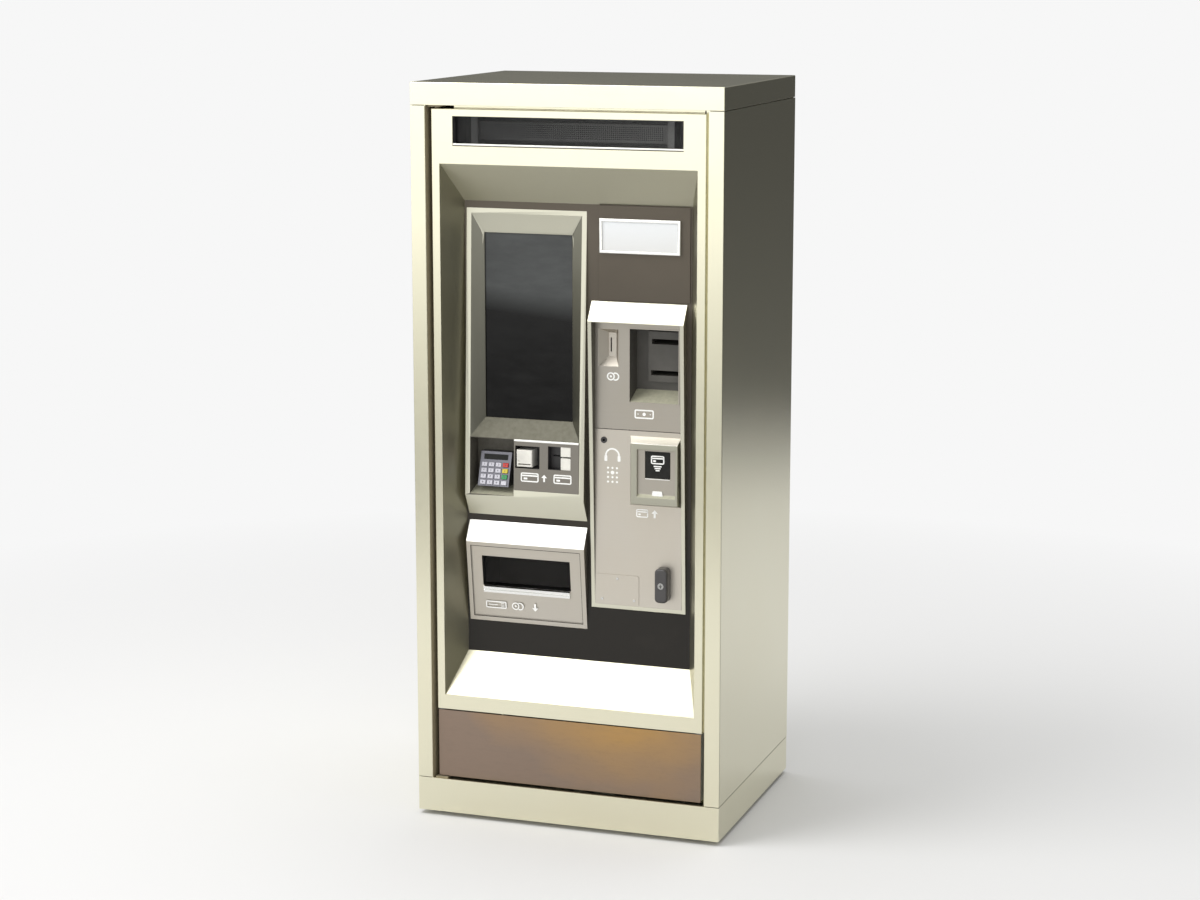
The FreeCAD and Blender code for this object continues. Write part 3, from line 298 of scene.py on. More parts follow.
def coated_panel(name, colour, lighter, roughness=0.34, rise=None):
    """Dark satin coating with a fine orange-peel skin and dusty clouds, paler between two heights."""
    r = new_recipe(name)
    clouds = r.noise(2.2, 5.0, 0.6)
    amount = r.remap(clouds, 0.0, 1.0)
    if rise:
        amount = r.add(r.remap(r.axis("Z"), 0.0, 1.0, *rise), r.remap(clouds, -0.12, 0.12))
    r.dress({
        "Base Color": r.blend(amount, colour, lighter),
        "Roughness": r.remap(clouds, roughness - 0.06, roughness + 0.08),
        "Metallic": 0.15,
        "Specular IOR Level": 0.3,
    })
    r.bump(r.noise(420.0, 2.0, 0.5), 0.10, 0.0003)
    return r.owner


def moulded_plastic(name, colour, roughness=0.45, texture=900.0, coat=0.0):
    """Moulded plastic with a spark-eroded skin and handling marks."""
    r = new_recipe(name)
    r.speckle(r.noise(24.0, 4.0, 0.6), colour, 0.80, roughness - 0.07, roughness + 0.07)
    r.dress({"Coat Weight": coat})
    r.bump(r.noise(texture, 2.0, 0.5), 0.14, 0.0002)
    return r.owner


def rubber_skin(name, colour):
    r = new_recipe(name)
    r.speckle(r.noise(30.0, 5.0, 0.6), colour, 2.0, 0.62, 0.80)
    r.bump(r.noise(600.0, 2.0, 0.5), 0.2, 0.0003)
    return r.owner


def screen_face(name):
    """Black touch glass: a paler painted reflection over its upper part, fine dust and wiped marks in the gloss."""
    r = new_recipe(name)
    low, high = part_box("screen_glass")
    tall = high.z - low.z
    lean = r.reckon("MULTIPLY_ADD", r.axis("X"), REFLECTION_LEAN, r.axis("Z"))
    # painted reflection: the glass turns paler above a leaning line
    painted_reflection = r.remap(lean, 0.0, 1.0, low.z + 0.53 * tall, low.z + 0.66 * tall)
    wipes = r.noise(4.0, 5.0, 0.6, r.stretched((3.0, 3.0, 9.0)))
    tint = r.blend(painted_reflection, (0.004, 0.0038, 0.0036), (0.070, 0.074, 0.074))
    tint = r.blend(r.remap(wipes, 0.0, 0.25), tint, (0.012, 0.012, 0.012))
    r.dress({"Base Color": tint, "Roughness": r.remap(wipes, 0.10, 0.20), "Specular IOR Level": 0.22})
    return r.owner


def smoked_pane(name, colour, alpha):
    """Smoked clear sheet with light dust."""
    r = new_recipe(name)
    r.speckle(r.noise(40.0, 5.0, 0.65), colour, 1.6, 0.05, 0.16)
    r.dress({"Alpha": alpha, "Specular IOR Level": 0.18})
    return r.owner


def board_painted_light(name, left, right):
    """Unlit sign board behind its pane, with painted light: paler towards the right where the light reaches in."""
    r = new_recipe(name)
    low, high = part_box("sign_housing")
    # painted light: the colour runs from a darker left to a paler right
    across = r.remap(r.axis("X"), 0.0, 1.0, low.x, high.x)
    dust = r.noise(30.0, 5.0, 0.6)
    tint = r.blend(r.add(across, r.remap(dust, -0.08, 0.08)), left, right)
    r.dress({"Base Color": tint, "Roughness": r.remap(dust, 0.30, 0.44)})
    return r.owner


def lit_card(name):
    """White notice card with a faint painted glow, and painted light that makes it a little brighter towards its top.
    """
    r = new_recipe(name)
    low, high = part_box("notice_card")
    # painted light: brighter towards the top, with a faint painted glow from the emission
    rise = r.remap(r.axis("Z"), 0.0, 1.0, low.z, high.z)
    tint = r.blend(rise, (0.70, 0.70, 0.69), (0.80, 0.82, 0.84))
    tint = r.blend(r.remap(r.noise(700.0, 3.0, 0.5), 0.0, 0.25), tint, (0.66, 0.68, 0.70))
    r.dress({"Base Color": tint, "Emission Color": tint, "Emission Strength": 0.03, "Roughness": 0.35})
    return r.owner


def printed_film(name, colour):
    r = new_recipe(name)
    r.speckle(r.noise(160.0, 4.0, 0.6), colour, 0.86, 0.40, 0.58)
    return r.owner


def paper_roll(name):
    """Wound ticket paper: fine rings on the sides, faint bands on the face."""
    r = new_recipe(name)
    low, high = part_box("ticket_roll")
    shift = r.node("ShaderNodeMapping", {"Location": tuple((low + high) / -2), "Vector": r.place})
    sockets = {"Scale": 260.0, "Distortion": 0.6, "Vector": shift.outputs["Vector"]}
    rings = r.node("ShaderNodeTexWave", sockets, wave_type="RINGS", rings_direction="X")
    tint = r.blend(rings.outputs["Fac"], (0.86, 0.84, 0.78), (0.74, 0.71, 0.63))
    r.dress({"Base Color": tint, "Roughness": r.remap(r.noise(60.0), 0.65, 0.80)})
    return r.owner


def finish_table():
    """Every finish: what makes it, and the values it is made with."""
    f = finish_settings()
    steel, hood, plates, dark = (tuple(colour) for colour in (f.steel, f.hood, f.plates, f.dark))
    key = (0.36, 1200.0, 0.2)
    return {
        "steel_up": (brushed_steel, steel, 0.20, "up"),
        "steel_across": (brushed_steel, steel, 0.20, "across"),
        # painted shade: the recess takes a darker copy of the steel; painted light: its sill a paler one
        "recess_steel": (brushed_steel, shade(steel, 0.54), 0.36, "across", 0.02, 0.01, 0.004),
        "sill_steel": (brushed_steel, shade(steel, 0.74), 0.30, "across"),
        "hood_steel": (brushed_steel, hood, 0.34, "across"),
        "dim_steel": (brushed_steel, shade(hood, 0.62), 0.36, "across"),
        # painted shade: a darker copy of the hood steel for the screen's side bevels
        "bevel_steel": (brushed_steel, shade(hood, 0.34), 0.40, "across"),
        # painted highlight: a near-white steel for up-facing tops and thin lips
        "bright_steel": (brushed_steel, (0.93, 0.93, 0.90), 0.30, "across"),
        "plate_steel": (brushed_steel, plates, 0.42, "across", 0.05, 0.06),
        "upper_plate_steel": (brushed_steel, shade(plates, 0.74), 0.42, "across", 0.05, 0.06),
        "card_plate_steel": (brushed_steel, shade(plates, 0.42), 0.45, "across", 0.05, 0.04),
        "zinc": (brushed_steel, (0.62, 0.63, 0.64), 0.38, "across", 0.02, 0.08),
        "turned": (brushed_steel, (0.55, 0.55, 0.54), 0.28, "deep", 0.02, 0.08),
        "chrome": (brushed_steel, (0.80, 0.80, 0.78), 0.16, "across", 0.01, 0.04),
        "dull_chrome": (brushed_steel, (0.36, 0.36, 0.35), 0.22, "deep", 0.01, 0.04),
        "pad_metal": (brushed_steel, (0.20, 0.20, 0.23), 0.42, "across", 0.03, 0.08),
        "bronze": (stained_bronze, tuple(f.kick)),
        # painted shade on the screen's lower bevel, painted light on sills and floors, and a painted shadow on rims
        "low_bevel_paint": (flat_paint, (0.165, 0.158, 0.115)),
        "sill_paint": (flat_paint, (0.46, 0.45, 0.34)),
        "jamb_paint": (flat_paint, (0.36, 0.31, 0.20)),
        "rim_shadow": (flat_paint, (0.10, 0.092, 0.072)),
        "dark_panel": (coated_panel, dark, shade(dark, 8.5), 0.34, (0.62, 1.50)),
        "primer": (coated_panel, (0.17, 0.18, 0.18), (0.25, 0.26, 0.26), 0.5),
        "acceptor_plastic": (moulded_plastic, (0.085, 0.080, 0.070), 0.5),
        "black_plastic": (moulded_plastic, tuple(f.plastic), 0.42),
        "handle_plastic": (moulded_plastic, (0.045, 0.042, 0.042), 0.36, 1200.0, 0.15),
        "cream_plastic": (moulded_plastic, tuple(f.cream), 0.40, 900.0, 0.1),
        "sign_board": (moulded_plastic, (0.075, 0.073, 0.072), 0.38, 600.0),
        "key_light": (moulded_plastic, (0.66, 0.65, 0.72), *key),
        "key_red": (moulded_plastic, (0.62, 0.05, 0.04), *key),
        "key_yellow": (moulded_plastic, (0.72, 0.58, 0.05), *key),
        "key_green": (moulded_plastic, (0.05, 0.36, 0.12), *key),
        "rubber": (rubber_skin, (0.018, 0.018, 0.018)),
        "touch_glass": (screen_face,),
        "dark_pane": (smoked_pane, (0.020, 0.020, 0.020), 0.38),
        "dark_pane_solid": (smoked_pane, (0.016, 0.016, 0.015), 1.0),
        "flap_pane": (smoked_pane, (0.010, 0.009, 0.008), 0.40),
        # painted light: the posts and the board grow paler towards the right
        "sign_posts": (board_painted_light, (0.30, 0.30, 0.30), (0.86, 0.86, 0.84)),
        "sign_display": (board_painted_light, (0.10, 0.10, 0.10), (0.74, 0.74, 0.72)),
        # painted glow and painted light on the notice card
        "lit_card": (lit_card,),
        "picture_white": (printed_film, tuple(f.picture)),
        "picture_dark": (printed_film, (0.10, 0.10, 0.11)),
        "paper": (paper_roll,),
    }


MATERIALS = {}


def material_of(name):
    """Each finish is made once and shared."""
    if name not in MATERIALS:
        maker, *values = finish_table()[name]
        MATERIALS[name] = maker(name, *values)
    return MATERIALS[name]


NODES_BY_FINISH = {
    "steel_up": ("left_side_panel", "right_side_panel", "rear_panel"),
    "steel_across": ("base_plinth", "top_cap", "door_skin"),
    # painted shade: the whole recess surround takes the darker steel
    "recess_steel": ("recess_surround",),
    "hood_steel": ("screen_hood", "payment_hood"),
    "dim_steel": ("tap_reader",),
    "plate_steel": ("payment_lower_panel", "coin_mouth", "access_plate", "return_hood"),
    "upper_plate_steel": ("payment_upper_panel",),
    "card_plate_steel": ("card_panel",),
    "zinc": ("equipment_shelf", "power_supply", "coin_validator"),
    "turned": ("lock_bolt",),
    "chrome": ("notice_frame",),
    "dull_chrome": ("key_cylinder",),
    "pad_metal": ("keypad_body",),
    "bronze": ("kick_panel",),
    "jamb_paint": ("door_hinges",),
    "dark_panel": ("module_panel",),
    "primer": ("coin_vault", "door_frame", "note_cassette"),
    "acceptor_plastic": ("bill_acceptor",),
    "black_plastic": (
        "machine_computer", "display_unit", "card_housing", "audio_jack", "return_tray", "ticket_printer",
    ),
    "handle_plastic": ("lock_handle",),
    "cream_plastic": ("card_readers",),
    "sign_board": ("sign_housing",),
    "key_red": ("key_14",),
    "key_yellow": ("key_24",),
    "key_green": ("key_34",),
    "rubber": ("levelling_feet",),
    "touch_glass": ("screen_glass",),
    "flap_pane": ("return_flap",),
    "lit_card": ("notice_card",),
    "paper": ("ticket_roll",),
}
NODE_FINISHES = {node: finish for finish, nodes in NODES_BY_FINISH.items() for node in nodes}
WIDE_EDGES = ("base_plinth", "top_cap", "kick_panel")
WIDE_SHARE = 1.5
FINE_EDGES = ("key_", "keypad", "audio", "access", "lock_bolt", "key_cylinder", "return_flap", "notice")
FINE_SHARE = 0.35
NO_ROUNDING = (
    "payment_lower_panel", "payment_upper_panel", "module_panel", "card_panel", "levelling_feet", "screen_glass",
    "ticket_roll", "lock_handle", "notice_card", "door_skin", "door_frame", "left_side_panel", "right_side_panel",
    "sign_housing", "recess_surround",
)


# ------------------------------------------------------------------ mesh parts
def round_edges(piece, width, angle=32.0):
    """Small rounded edges that catch the light, with even shading on the flats."""
    weld = piece.modifiers.new("join corners", "WELD")
    weld.merge_threshold = 0.00001
    bevel = piece.modifiers.new("rounded edges", "BEVEL")
    bevel.width = width
    bevel.segments = 2
    bevel.limit_method = "ANGLE"
    bevel.angle_limit = math.radians(angle)
    bevel.use_clamp_overlap = True
    even = piece.modifiers.new("even shading", "WEIGHTED_NORMAL")
    even.keep_sharp = False


def place_piece(name, mesh, material, body):
    """Put a mesh in the scene as a named piece that rides on a body."""
    mesh.materials.append(material_of(material))
    piece = bpy.data.objects.new(name, mesh)
    bpy.context.scene.collection.objects.link(piece)
    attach(piece, body)
    return piece


def mesh_piece(name, mesh_tool, material, body, smooth=False):
    """Turns a finished bmesh into a named piece that rides on a body."""
    mesh = bpy.data.meshes.new(name)
    bmesh.ops.recalc_face_normals(mesh_tool, faces=mesh_tool.faces)
    mesh_tool.to_mesh(mesh)
    mesh_tool.free()
    for face in mesh.polygons:
        face.use_smooth = smooth
    return place_piece(name, mesh, material, body)


class Pen:
    """Lays raised shapes, drawn as (u, v) points, on a plane, and makes one piece of them."""

    def __init__(self, place, up=UP, out=OUT, thick=None):
        self.tool = bmesh.new()
        self.place = place
        self.up = up
        self.out = out
        self.thick = sign_settings().film if thick is None else thick

    def move(self, place):
        self.place = place
        return self

    def slab(self, outline):
        """A flat outline, given thickness."""
        low = [self.tool.verts.new(self.place + ACROSS * u + self.up * v) for u, v in outline]
        high = [self.tool.verts.new(vertex.co + self.out * self.thick) for vertex in low]
        self.tool.faces.new(low)
        self.tool.faces.new(list(reversed(high)))
        for i in range(len(outline)):
            j = (i + 1) % len(outline)
            self.tool.faces.new((low[i], low[j], high[j], high[i]))

    def band(self, path, width, closed=False):
        """A line of even width along points, as a raised strip."""
        count = len(path)
        left = []
        side = []
        for i, (u, v) in enumerate(path):
            before = path[(i - 1) % count] if closed or i else path[i]
            after = path[(i + 1) % count] if closed or i < count - 1 else path[i]
            direction = Vector((after[0] - before[0], after[1] - before[1]))
            direction.normalize()
            normal = Vector((-direction.y, direction.x)) * width / 2
            left.append((u + normal.x, v + normal.y))
            side.append((u - normal.x, v - normal.y))
        for i in range(count if closed else count - 1):
            j = (i + 1) % count
            self.slab([side[i], side[j], left[j], left[i]])

    def piece(self, name, material, body, slot_name, rounded=None):
        piece = mesh_piece(name, self.tool, material, body)
        if rounded is not None:
            round_edges(piece, rounded)
        return piece

    def sign(self, name):
        return self.piece(name, "picture_white", "door", "notice_white")


def arc_path(cu, cv, radius, start, end, steps=14):
    points = []
    for i in range(steps + 1):
        a = math.radians(start + (end - start) * i / steps)
        points.append((cu + radius * math.cos(a), cv + radius * math.sin(a)))
    return points


def disc_outline(cu, cv, radius, steps=28):
    return arc_path(cu, cv, radius, 0, 360, steps)[:-1]


def box_outline(u0, v0, u1, v1, corner=0.0, steps=4):
    """A rectangle, with rounded corners if a radius is given."""
    if corner <= 0:
        return [(u0, v0), (u1, v0), (u1, v1), (u0, v1)]
    points = []
    centres = ((u1 - corner, v0 + corner, -90), (u1 - corner, v1 - corner, 0),
               (u0 + corner, v1 - corner, 90), (u0 + corner, v0 + corner, 180))
    for cu, cv, start in centres:
        points += arc_path(cu, cv, corner, start, start + 90, steps)
    return points


def add_screw(tool, place, radius, tall, out, right, steps=20):
    """A low domed head with a crossed drive sunk into it."""
    angles = [2 * math.pi * i / steps for i in range(steps)]

    def ring(share_at, rise):
        return [
            tool.verts.new(place + (right * math.cos(a) + UP * math.sin(a)) * radius * share_at(a) + out * tall * rise)
            for a in angles
        ]

    outer = [ring(lambda a, share=share: share, rise) for share, rise in ((1, 0), (1, 0.45), (0.86, 0.80), (0.60, 1))]
    drive = ring(lambda a: 0.28 if abs(math.sin(2 * a)) > 0.55 else 0.52, 0.98)
    loops = outer + [drive]
    floor = tool.verts.new(place + out * tall * 0.45)
    tool.faces.new(list(reversed(loops[0])))
    for i in range(steps):
        j = (i + 1) % steps
        for lower, upper in zip(loops, loops[1:]):
            tool.faces.new((lower[i], lower[j], upper[j], upper[i]))
        tool.faces.new((drive[i], drive[j], floor))


def middle_of(low, high):
    return (low + high) / 2


# ------------------------------------------------------------------ second finishes
def paint_faces(node, finish, chosen):
    """Give the faces of a carried-over piece that pass a test a second finish."""
    mesh = NODES[node].data
    mesh.materials.append(material_of(finish))
    slot = len(mesh.materials) - 1
    count = 0
    for face in mesh.polygons:
        if chosen(face.center, face.normal):
            face.material_index = slot
            count += 1
    if count == 0:
        raise RuntimeError("no face of " + node + " takes " + finish)


def paint_notice():
    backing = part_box("notice_frame")[0].y + 0.0066
    paint_faces("notice_frame", "dark_panel", lambda at, out: at.y > backing)


def paint_payment():
    """The note throat's walls, painted light on its sill, and painted shade on the inside of the payment hood."""
    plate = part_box("coin_mouth")[0].y
    wall = plate + 0.008
    sill = plate + 0.003
    paint_faces("payment_upper_panel", "acceptor_plastic", lambda at, out: at.y > wall and out.z < 0.2)
    # painted light on the throat's sill, painted shade on the hood's inner wall
    paint_faces("payment_upper_panel", "sill_paint", lambda at, out: at.y > sill and out.z > HALFWAY)
    low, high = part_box("payment_hood")
    half_way = middle_of(low.x, high.x)
    paint_faces("payment_hood", "rim_shadow", lambda at, out: out.x > SQUARE and at.x < half_way)


def paint_sign():
    """Painted shade on the sign's lip, and painted light across its display board and the pale posts at the board's
    ends.
    """
    low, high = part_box("sign_housing")
    middle = middle_of(low.x, high.x)
    half_board = (high.x - low.x) * 0.408
    board = low.y + 0.030

    def on_board(at, out):
        return out.y < -SQUARE and at.y > board

    # painted shade: the lip takes the dark shadow finish so that a dark line shows under the bright bar
    paint_faces("sign_housing", "rim_shadow", lambda at, out: at.y < low.y + 0.017 and at.z < low.z + 0.010)
    paint_faces("sign_housing", "sign_posts", lambda at, out: on_board(at, out) and abs(at.x - middle) > half_board)
    paint_faces("sign_housing", "sign_display", lambda at, out: on_board(at, out) and abs(at.x - middle) < half_board)


def paint_screen():
    """Painted shade on the bevels round the screen and on the walls of the pocket that the key pad sits in, and
    painted light on the pocket's floor.
    """
    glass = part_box("screen_glass")[0]
    low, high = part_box("screen_hood")
    pad, pad_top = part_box("keypad_body")

    def round_screen(at):
        return at.z > pad_top.z + 0.02 and at.y < glass.y - 0.0005

    def side_bevel(at, out):
        return round_screen(at) and abs(out.x) > LEANING and low.x + RIM < at.x < high.x - RIM

    def low_bevel(at, out):
        return round_screen(at) and out.z > LEANING and at.z < glass.z + 0.02

    def in_pocket(at):
        across = pad.x - 0.020 < at.x < pad_top.x + 0.020
        return across and pad.z - 0.022 < at.z < pad_top.z + 0.045

    def pocket_wall(at, out):
        inward = abs(out.x) > HALFWAY or out.y < -SQUARE or out.z < -HALFWAY
        return in_pocket(at) and out.z < SLIGHT and inward

    def pocket_floor(at, out):
        return in_pocket(at) and out.z > SLIGHT and at.z < pad.z + 0.005

    # painted shade on the bevels and pocket walls, painted light on the pocket floor
    paint_faces("screen_hood", "bevel_steel", side_bevel)
    paint_faces("screen_hood", "low_bevel_paint", low_bevel)
    paint_faces("screen_hood", "rim_shadow", pocket_wall)
    paint_faces("screen_hood", "sill_paint", pocket_floor)


def paint_doorway():
    """The primed left jamb and door frame edge, and the sill of the recess, painted paler than the recess as painted
    light.
    """
    jamb = CAD_BOX[0].y + 0.052
    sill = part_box("recess_surround")[0].z + 0.12
    paint_faces("left_side_panel", "jamb_paint", lambda at, out: out.x > SQUARE and at.y < jamb)
    paint_faces("door_frame", "jamb_paint", lambda at, out: out.x < -SQUARE and at.x < 0.0)
    # painted light: the recess's up-facing sill is paler than its walls
    paint_faces("recess_surround", "sill_steel", lambda at, out: out.z > SLIGHT and at.z < sill)


def paint_readers():
    """The contactless reader's plate, a painted highlight on its top and painted light on its lip, and the dark half
    of the second card reader.
    """
    low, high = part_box("tap_reader")
    plate = low.y + 0.006
    paint_faces(
        "tap_reader", "upper_plate_steel", lambda at, out: abs(at.y - plate) < 0.0012 and out.y < -SQUARE
    )
    # painted highlight on the reader's top, painted light on its lip
    paint_faces("tap_reader", "bright_steel", lambda at, out: out.z > HALFWAY and at.z > high.z - 0.020)
    paint_faces("tap_reader", "sill_paint", lambda at, out: out.z > HALFWAY and at.z < low.z + 0.040)
    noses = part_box("card_readers")[0]
    second = noses.x + 0.08
    deep = noses.y + 0.015
    paint_faces(
        "card_readers", "black_plastic", lambda at, out: at.x > second and (out.x < -SQUARE or at.y > deep)
    )


def paint_return():
    """The tray's chromed sills, a painted highlight on the return hood's top, and painted shade on its inner rim."""
    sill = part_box("return_tray")[0].y + 0.0085
    paint_faces("return_tray", "chrome", lambda at, out: at.y < sill)
    low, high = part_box("return_hood")

    def inner_rim(at, out):
        inside = low.x + RIM < at.x < high.x - RIM
        return inside and (abs(out.x) > SQUARE or out.z < -SQUARE) and at.z > low.z + 0.02

    # painted highlight on the hood's top, painted shade on its inner rim
    paint_faces("return_hood", "bright_steel", lambda at, out: out.z > SLIGHT and at.z > high.z - 0.05)
    paint_faces("return_hood", "rim_shadow", inner_rim)


# ------------------------------------------------------------------ pictures
def coin_picture(pen, size, stroke):
    """Two overlapping coins drawn as rings, with a disc in the first."""
    radius = size / 2
    pen.band(arc_path(0, 0, radius, 0, 360, 30), stroke)
    pen.slab(disc_outline(0, 0, radius * 0.34, 18))
    pen.band(arc_path(radius * 1.35, 0, radius, -118, 118, 20), stroke)


def note_picture(pen, width, tall, stroke):
    """A banknote: rounded frame with a disc in its middle and two smaller ones beside it."""
    pen.band(box_outline(-width / 2, -tall / 2, width / 2, tall / 2, tall * 0.14), stroke, True)
    pen.slab(disc_outline(0, 0, tall * 0.22, 20))
    for side in (-1, 1):
        pen.slab(disc_outline(side * width * 0.34, 0, tall * 0.08, 12))


def card_picture(pen, width, tall, stroke):
    """A payment card: rounded frame, filled stripe and chip."""
    pen.band(box_outline(-width / 2, -tall / 2, width / 2, tall / 2, tall * 0.14), stroke, True)
    pen.slab(box_outline(-width / 2, tall * 0.12, width / 2, tall * 0.30))
    pen.slab(box_outline(-width * 0.36, -tall * 0.28, -width * 0.14, -tall * 0.04, tall * 0.04))


def arrow_picture(pen, size, turn):
    """A plain arrow that points along right, turned by an angle."""
    c = math.cos(math.radians(turn))
    s = math.sin(math.radians(turn))
    head = [(0.5, 0.0), (0.05, 0.42), (0.05, -0.42)]
    shaft = [(-0.5, -0.13), (0.06, -0.13), (0.06, 0.13), (-0.5, 0.13)]
    for outline in (head, shaft):
        pen.slab([((u * c - v * s) * size, (u * s + v * c) * size) for u, v in outline])


def headphone_picture(pen, size, stroke):
    radius = size / 2
    pen.band(arc_path(0, 0, radius, 0, 180, 18), stroke)
    for side in (-1, 1):
        u = side * radius
        pen.slab(box_outline(u - size * 0.11, -size * 0.42, u + size * 0.11, 0.0, size * 0.06))


def keypad_picture(pen, size):
    """A three by four grid of dots with the middle one of the second row drawn large."""
    pitch = size / 4
    for row in range(4):
        for column in range(3):
            middle = row == 1 and column == 1
            radius = pitch * (0.42 if middle else 0.24)
            pen.slab(disc_outline((column - 1) * pitch, (1.5 - row) * pitch, radius, 12))


def hand_card_picture(pen, size, stroke):
    """A card held to a plate: card outline over three dashes that grow shorter."""
    foot = pen.place
    card_picture(pen.move(foot + UP * size * 0.22), size * 0.62, size * 0.36, stroke)
    pen.move(foot)
    for i in range(3):
        v = -size * (0.10 + 0.10 * i)
        half = size * (0.20 - 0.05 * i)
        pen.slab(box_outline(-half, v - stroke / 2, half, v + stroke / 2))


def key_figure(pen, figure, size):
    """A generic figure for a command key."""
    stroke = size * 0.16
    if figure == "cross":
        crossing_lines(pen, (45, -45), size * 0.5, stroke)
    elif figure == "arrow":
        pen.band([(size * 0.3, size * 0.4), (-size * 0.3, 0.0), (size * 0.3, -size * 0.4)], stroke)
    elif figure == "ring":
        pen.band(arc_path(0, 0, size * 0.4, 0, 360, 18), stroke)
    elif figure == "star":
        crossing_lines(pen, (30, 90, 150), size * 0.42, stroke * 0.8)
    elif figure == "hash":
        reach = size * 0.42
        for offset in (-0.18 * size, 0.18 * size):
            pen.band([(offset, -reach), (offset, reach)], stroke * 0.7)
            pen.band([(-reach, offset), (reach, offset)], stroke * 0.7)


def crossing_lines(pen, turns, reach, stroke):
    for turn in turns:
        c = math.cos(math.radians(turn)) * reach
        s = math.sin(math.radians(turn)) * reach
        pen.band([(-c, -s), (c, s)], stroke)


def number_piece(name, figure, place, up, out, body):
    """A raised printed number made from a text curve."""
    curve = bpy.data.curves.new(name + "_curve", "FONT")
    curve.body = figure
    curve.size = LEGEND_SIZE
    curve.align_x = "CENTER"
    curve.align_y = "CENTER"
    curve.extrude = LEGEND_FILM / 2
    holder = bpy.data.objects.new(name + "_text", curve)
    bpy.context.scene.collection.objects.link(holder)
    bpy.context.view_layer.update()
    mesh = bpy.data.meshes.new_from_object(holder.evaluated_get(bpy.context.evaluated_depsgraph_get()))
    bpy.data.objects.remove(holder)
    bpy.data.curves.remove(curve)
    turn = Matrix((ACROSS, up, out)).transposed().to_4x4()
    mesh.transform(Matrix.Translation(place + out * LEGEND_FILM / 2) @ turn)
    mesh.name = name
    mesh.materials.clear()
    return place_piece(name, mesh, "picture_dark", body)


# ------------------------------------------------------------------ planes of the sloping plates
def sloped_frame(low_point, high_point):
    """Directions up and out of a plate that leans back between two (y, z) points."""
    up = Vector((0.0, high_point[0] - low_point[0], high_point[1] - low_point[1]))
    up.normalize()
    out = ACROSS.cross(up)
    out.normalize()
    return up, out if out.y < 0 else -out


def top_edge_depth(node, high_z):
    """Front depth of a leaning plate at its upper edge."""
    depths = [v.co.y for v in NODES[node].data.vertices if abs(v.co.z - high_z) < 0.0005]
    if not depths:
        raise RuntimeError("no upper edge on " + node)
    return min(depths)


def return_plate_plane():
    """Directions of the return hood's face plate, and its depth at a height."""
    low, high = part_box("return_hood")
    rows = {}
    for vertex in NODES["return_hood"].data.vertices:
        if low.x + 0.006 < vertex.co.x < low.x + 0.045:
            key = round(vertex.co.z, 4)
            rows[key] = min(rows.get(key, 9.0), vertex.co.y)
    inner = sorted(h for h in rows if low.z + 0.008 < h < high.z - 0.055)
    first = inner[0]
    last = inner[-1]
    if last - first < 0.05:
        raise RuntimeError("the return plate's slope wasn't found")
    up, out = sloped_frame((rows[first], first), (rows[last], last))

    def face(z):
        share = (z - first) / (last - first)
        return rows[first] + (rows[last] - rows[first]) * share

    return up, out, face


def key_plane(node):
    """Middle of a key's top face, and the directions up its slope and out."""
    joint = [j for j in frame["joints"] if j["child"] == node][0]
    out = -Vector(joint["axis"])
    out.normalize()
    up = out.cross(ACROSS)
    if up.z < 0:
        up = -up
    points = [v.co for v in NODES[node].data.vertices]
    reach = max(point.dot(out) for point in points)
    top = [point for point in points if point.dot(out) > reach - 0.0001]
    return sum(top, Vector((0.0, 0.0, 0.0))) / len(top), up, out


# ------------------------------------------------------------------ operators
class TVM_OT_metal_finishes(bpy.types.Operator):
    """Give every carried-over piece its own finish, and rounded edges to those that take them"""

    bl_idname = "tvm.metal_finishes"
    bl_label = "Finishes"

    def execute(self, context):
        width = finish_settings().edge_round
        for name, piece in NODES.items():
            default = "key_light" if name.startswith("key_") else None
            finish = NODE_FINISHES.get(name, default)
            if finish is None:
                raise RuntimeError("no finish is named for " + name)
            piece.data.materials.clear()
            piece.data.materials.append(material_of(finish))
            if name in NO_ROUNDING:
                continue
            share = 1.0
            if name.startswith(FINE_EDGES):
                share = FINE_SHARE
            if name in WIDE_EDGES:
                share = WIDE_SHARE
            round_edges(piece, width * share)
        return {"FINISHED"}


class TVM_OT_second_finishes(bpy.types.Operator):
    """Give mixed pieces their second finish, such as the notice's backing, painted light on the sills and painted
    shade on the screen bevels and rims
    """

    bl_idname = "tvm.second_finishes"
    bl_label = "Second finishes"

    def execute(self, context):
        paint_notice()
        paint_return()
        paint_payment()
        paint_sign()
        paint_screen()
        paint_doorway()
        paint_readers()
        return {"FINISHED"}


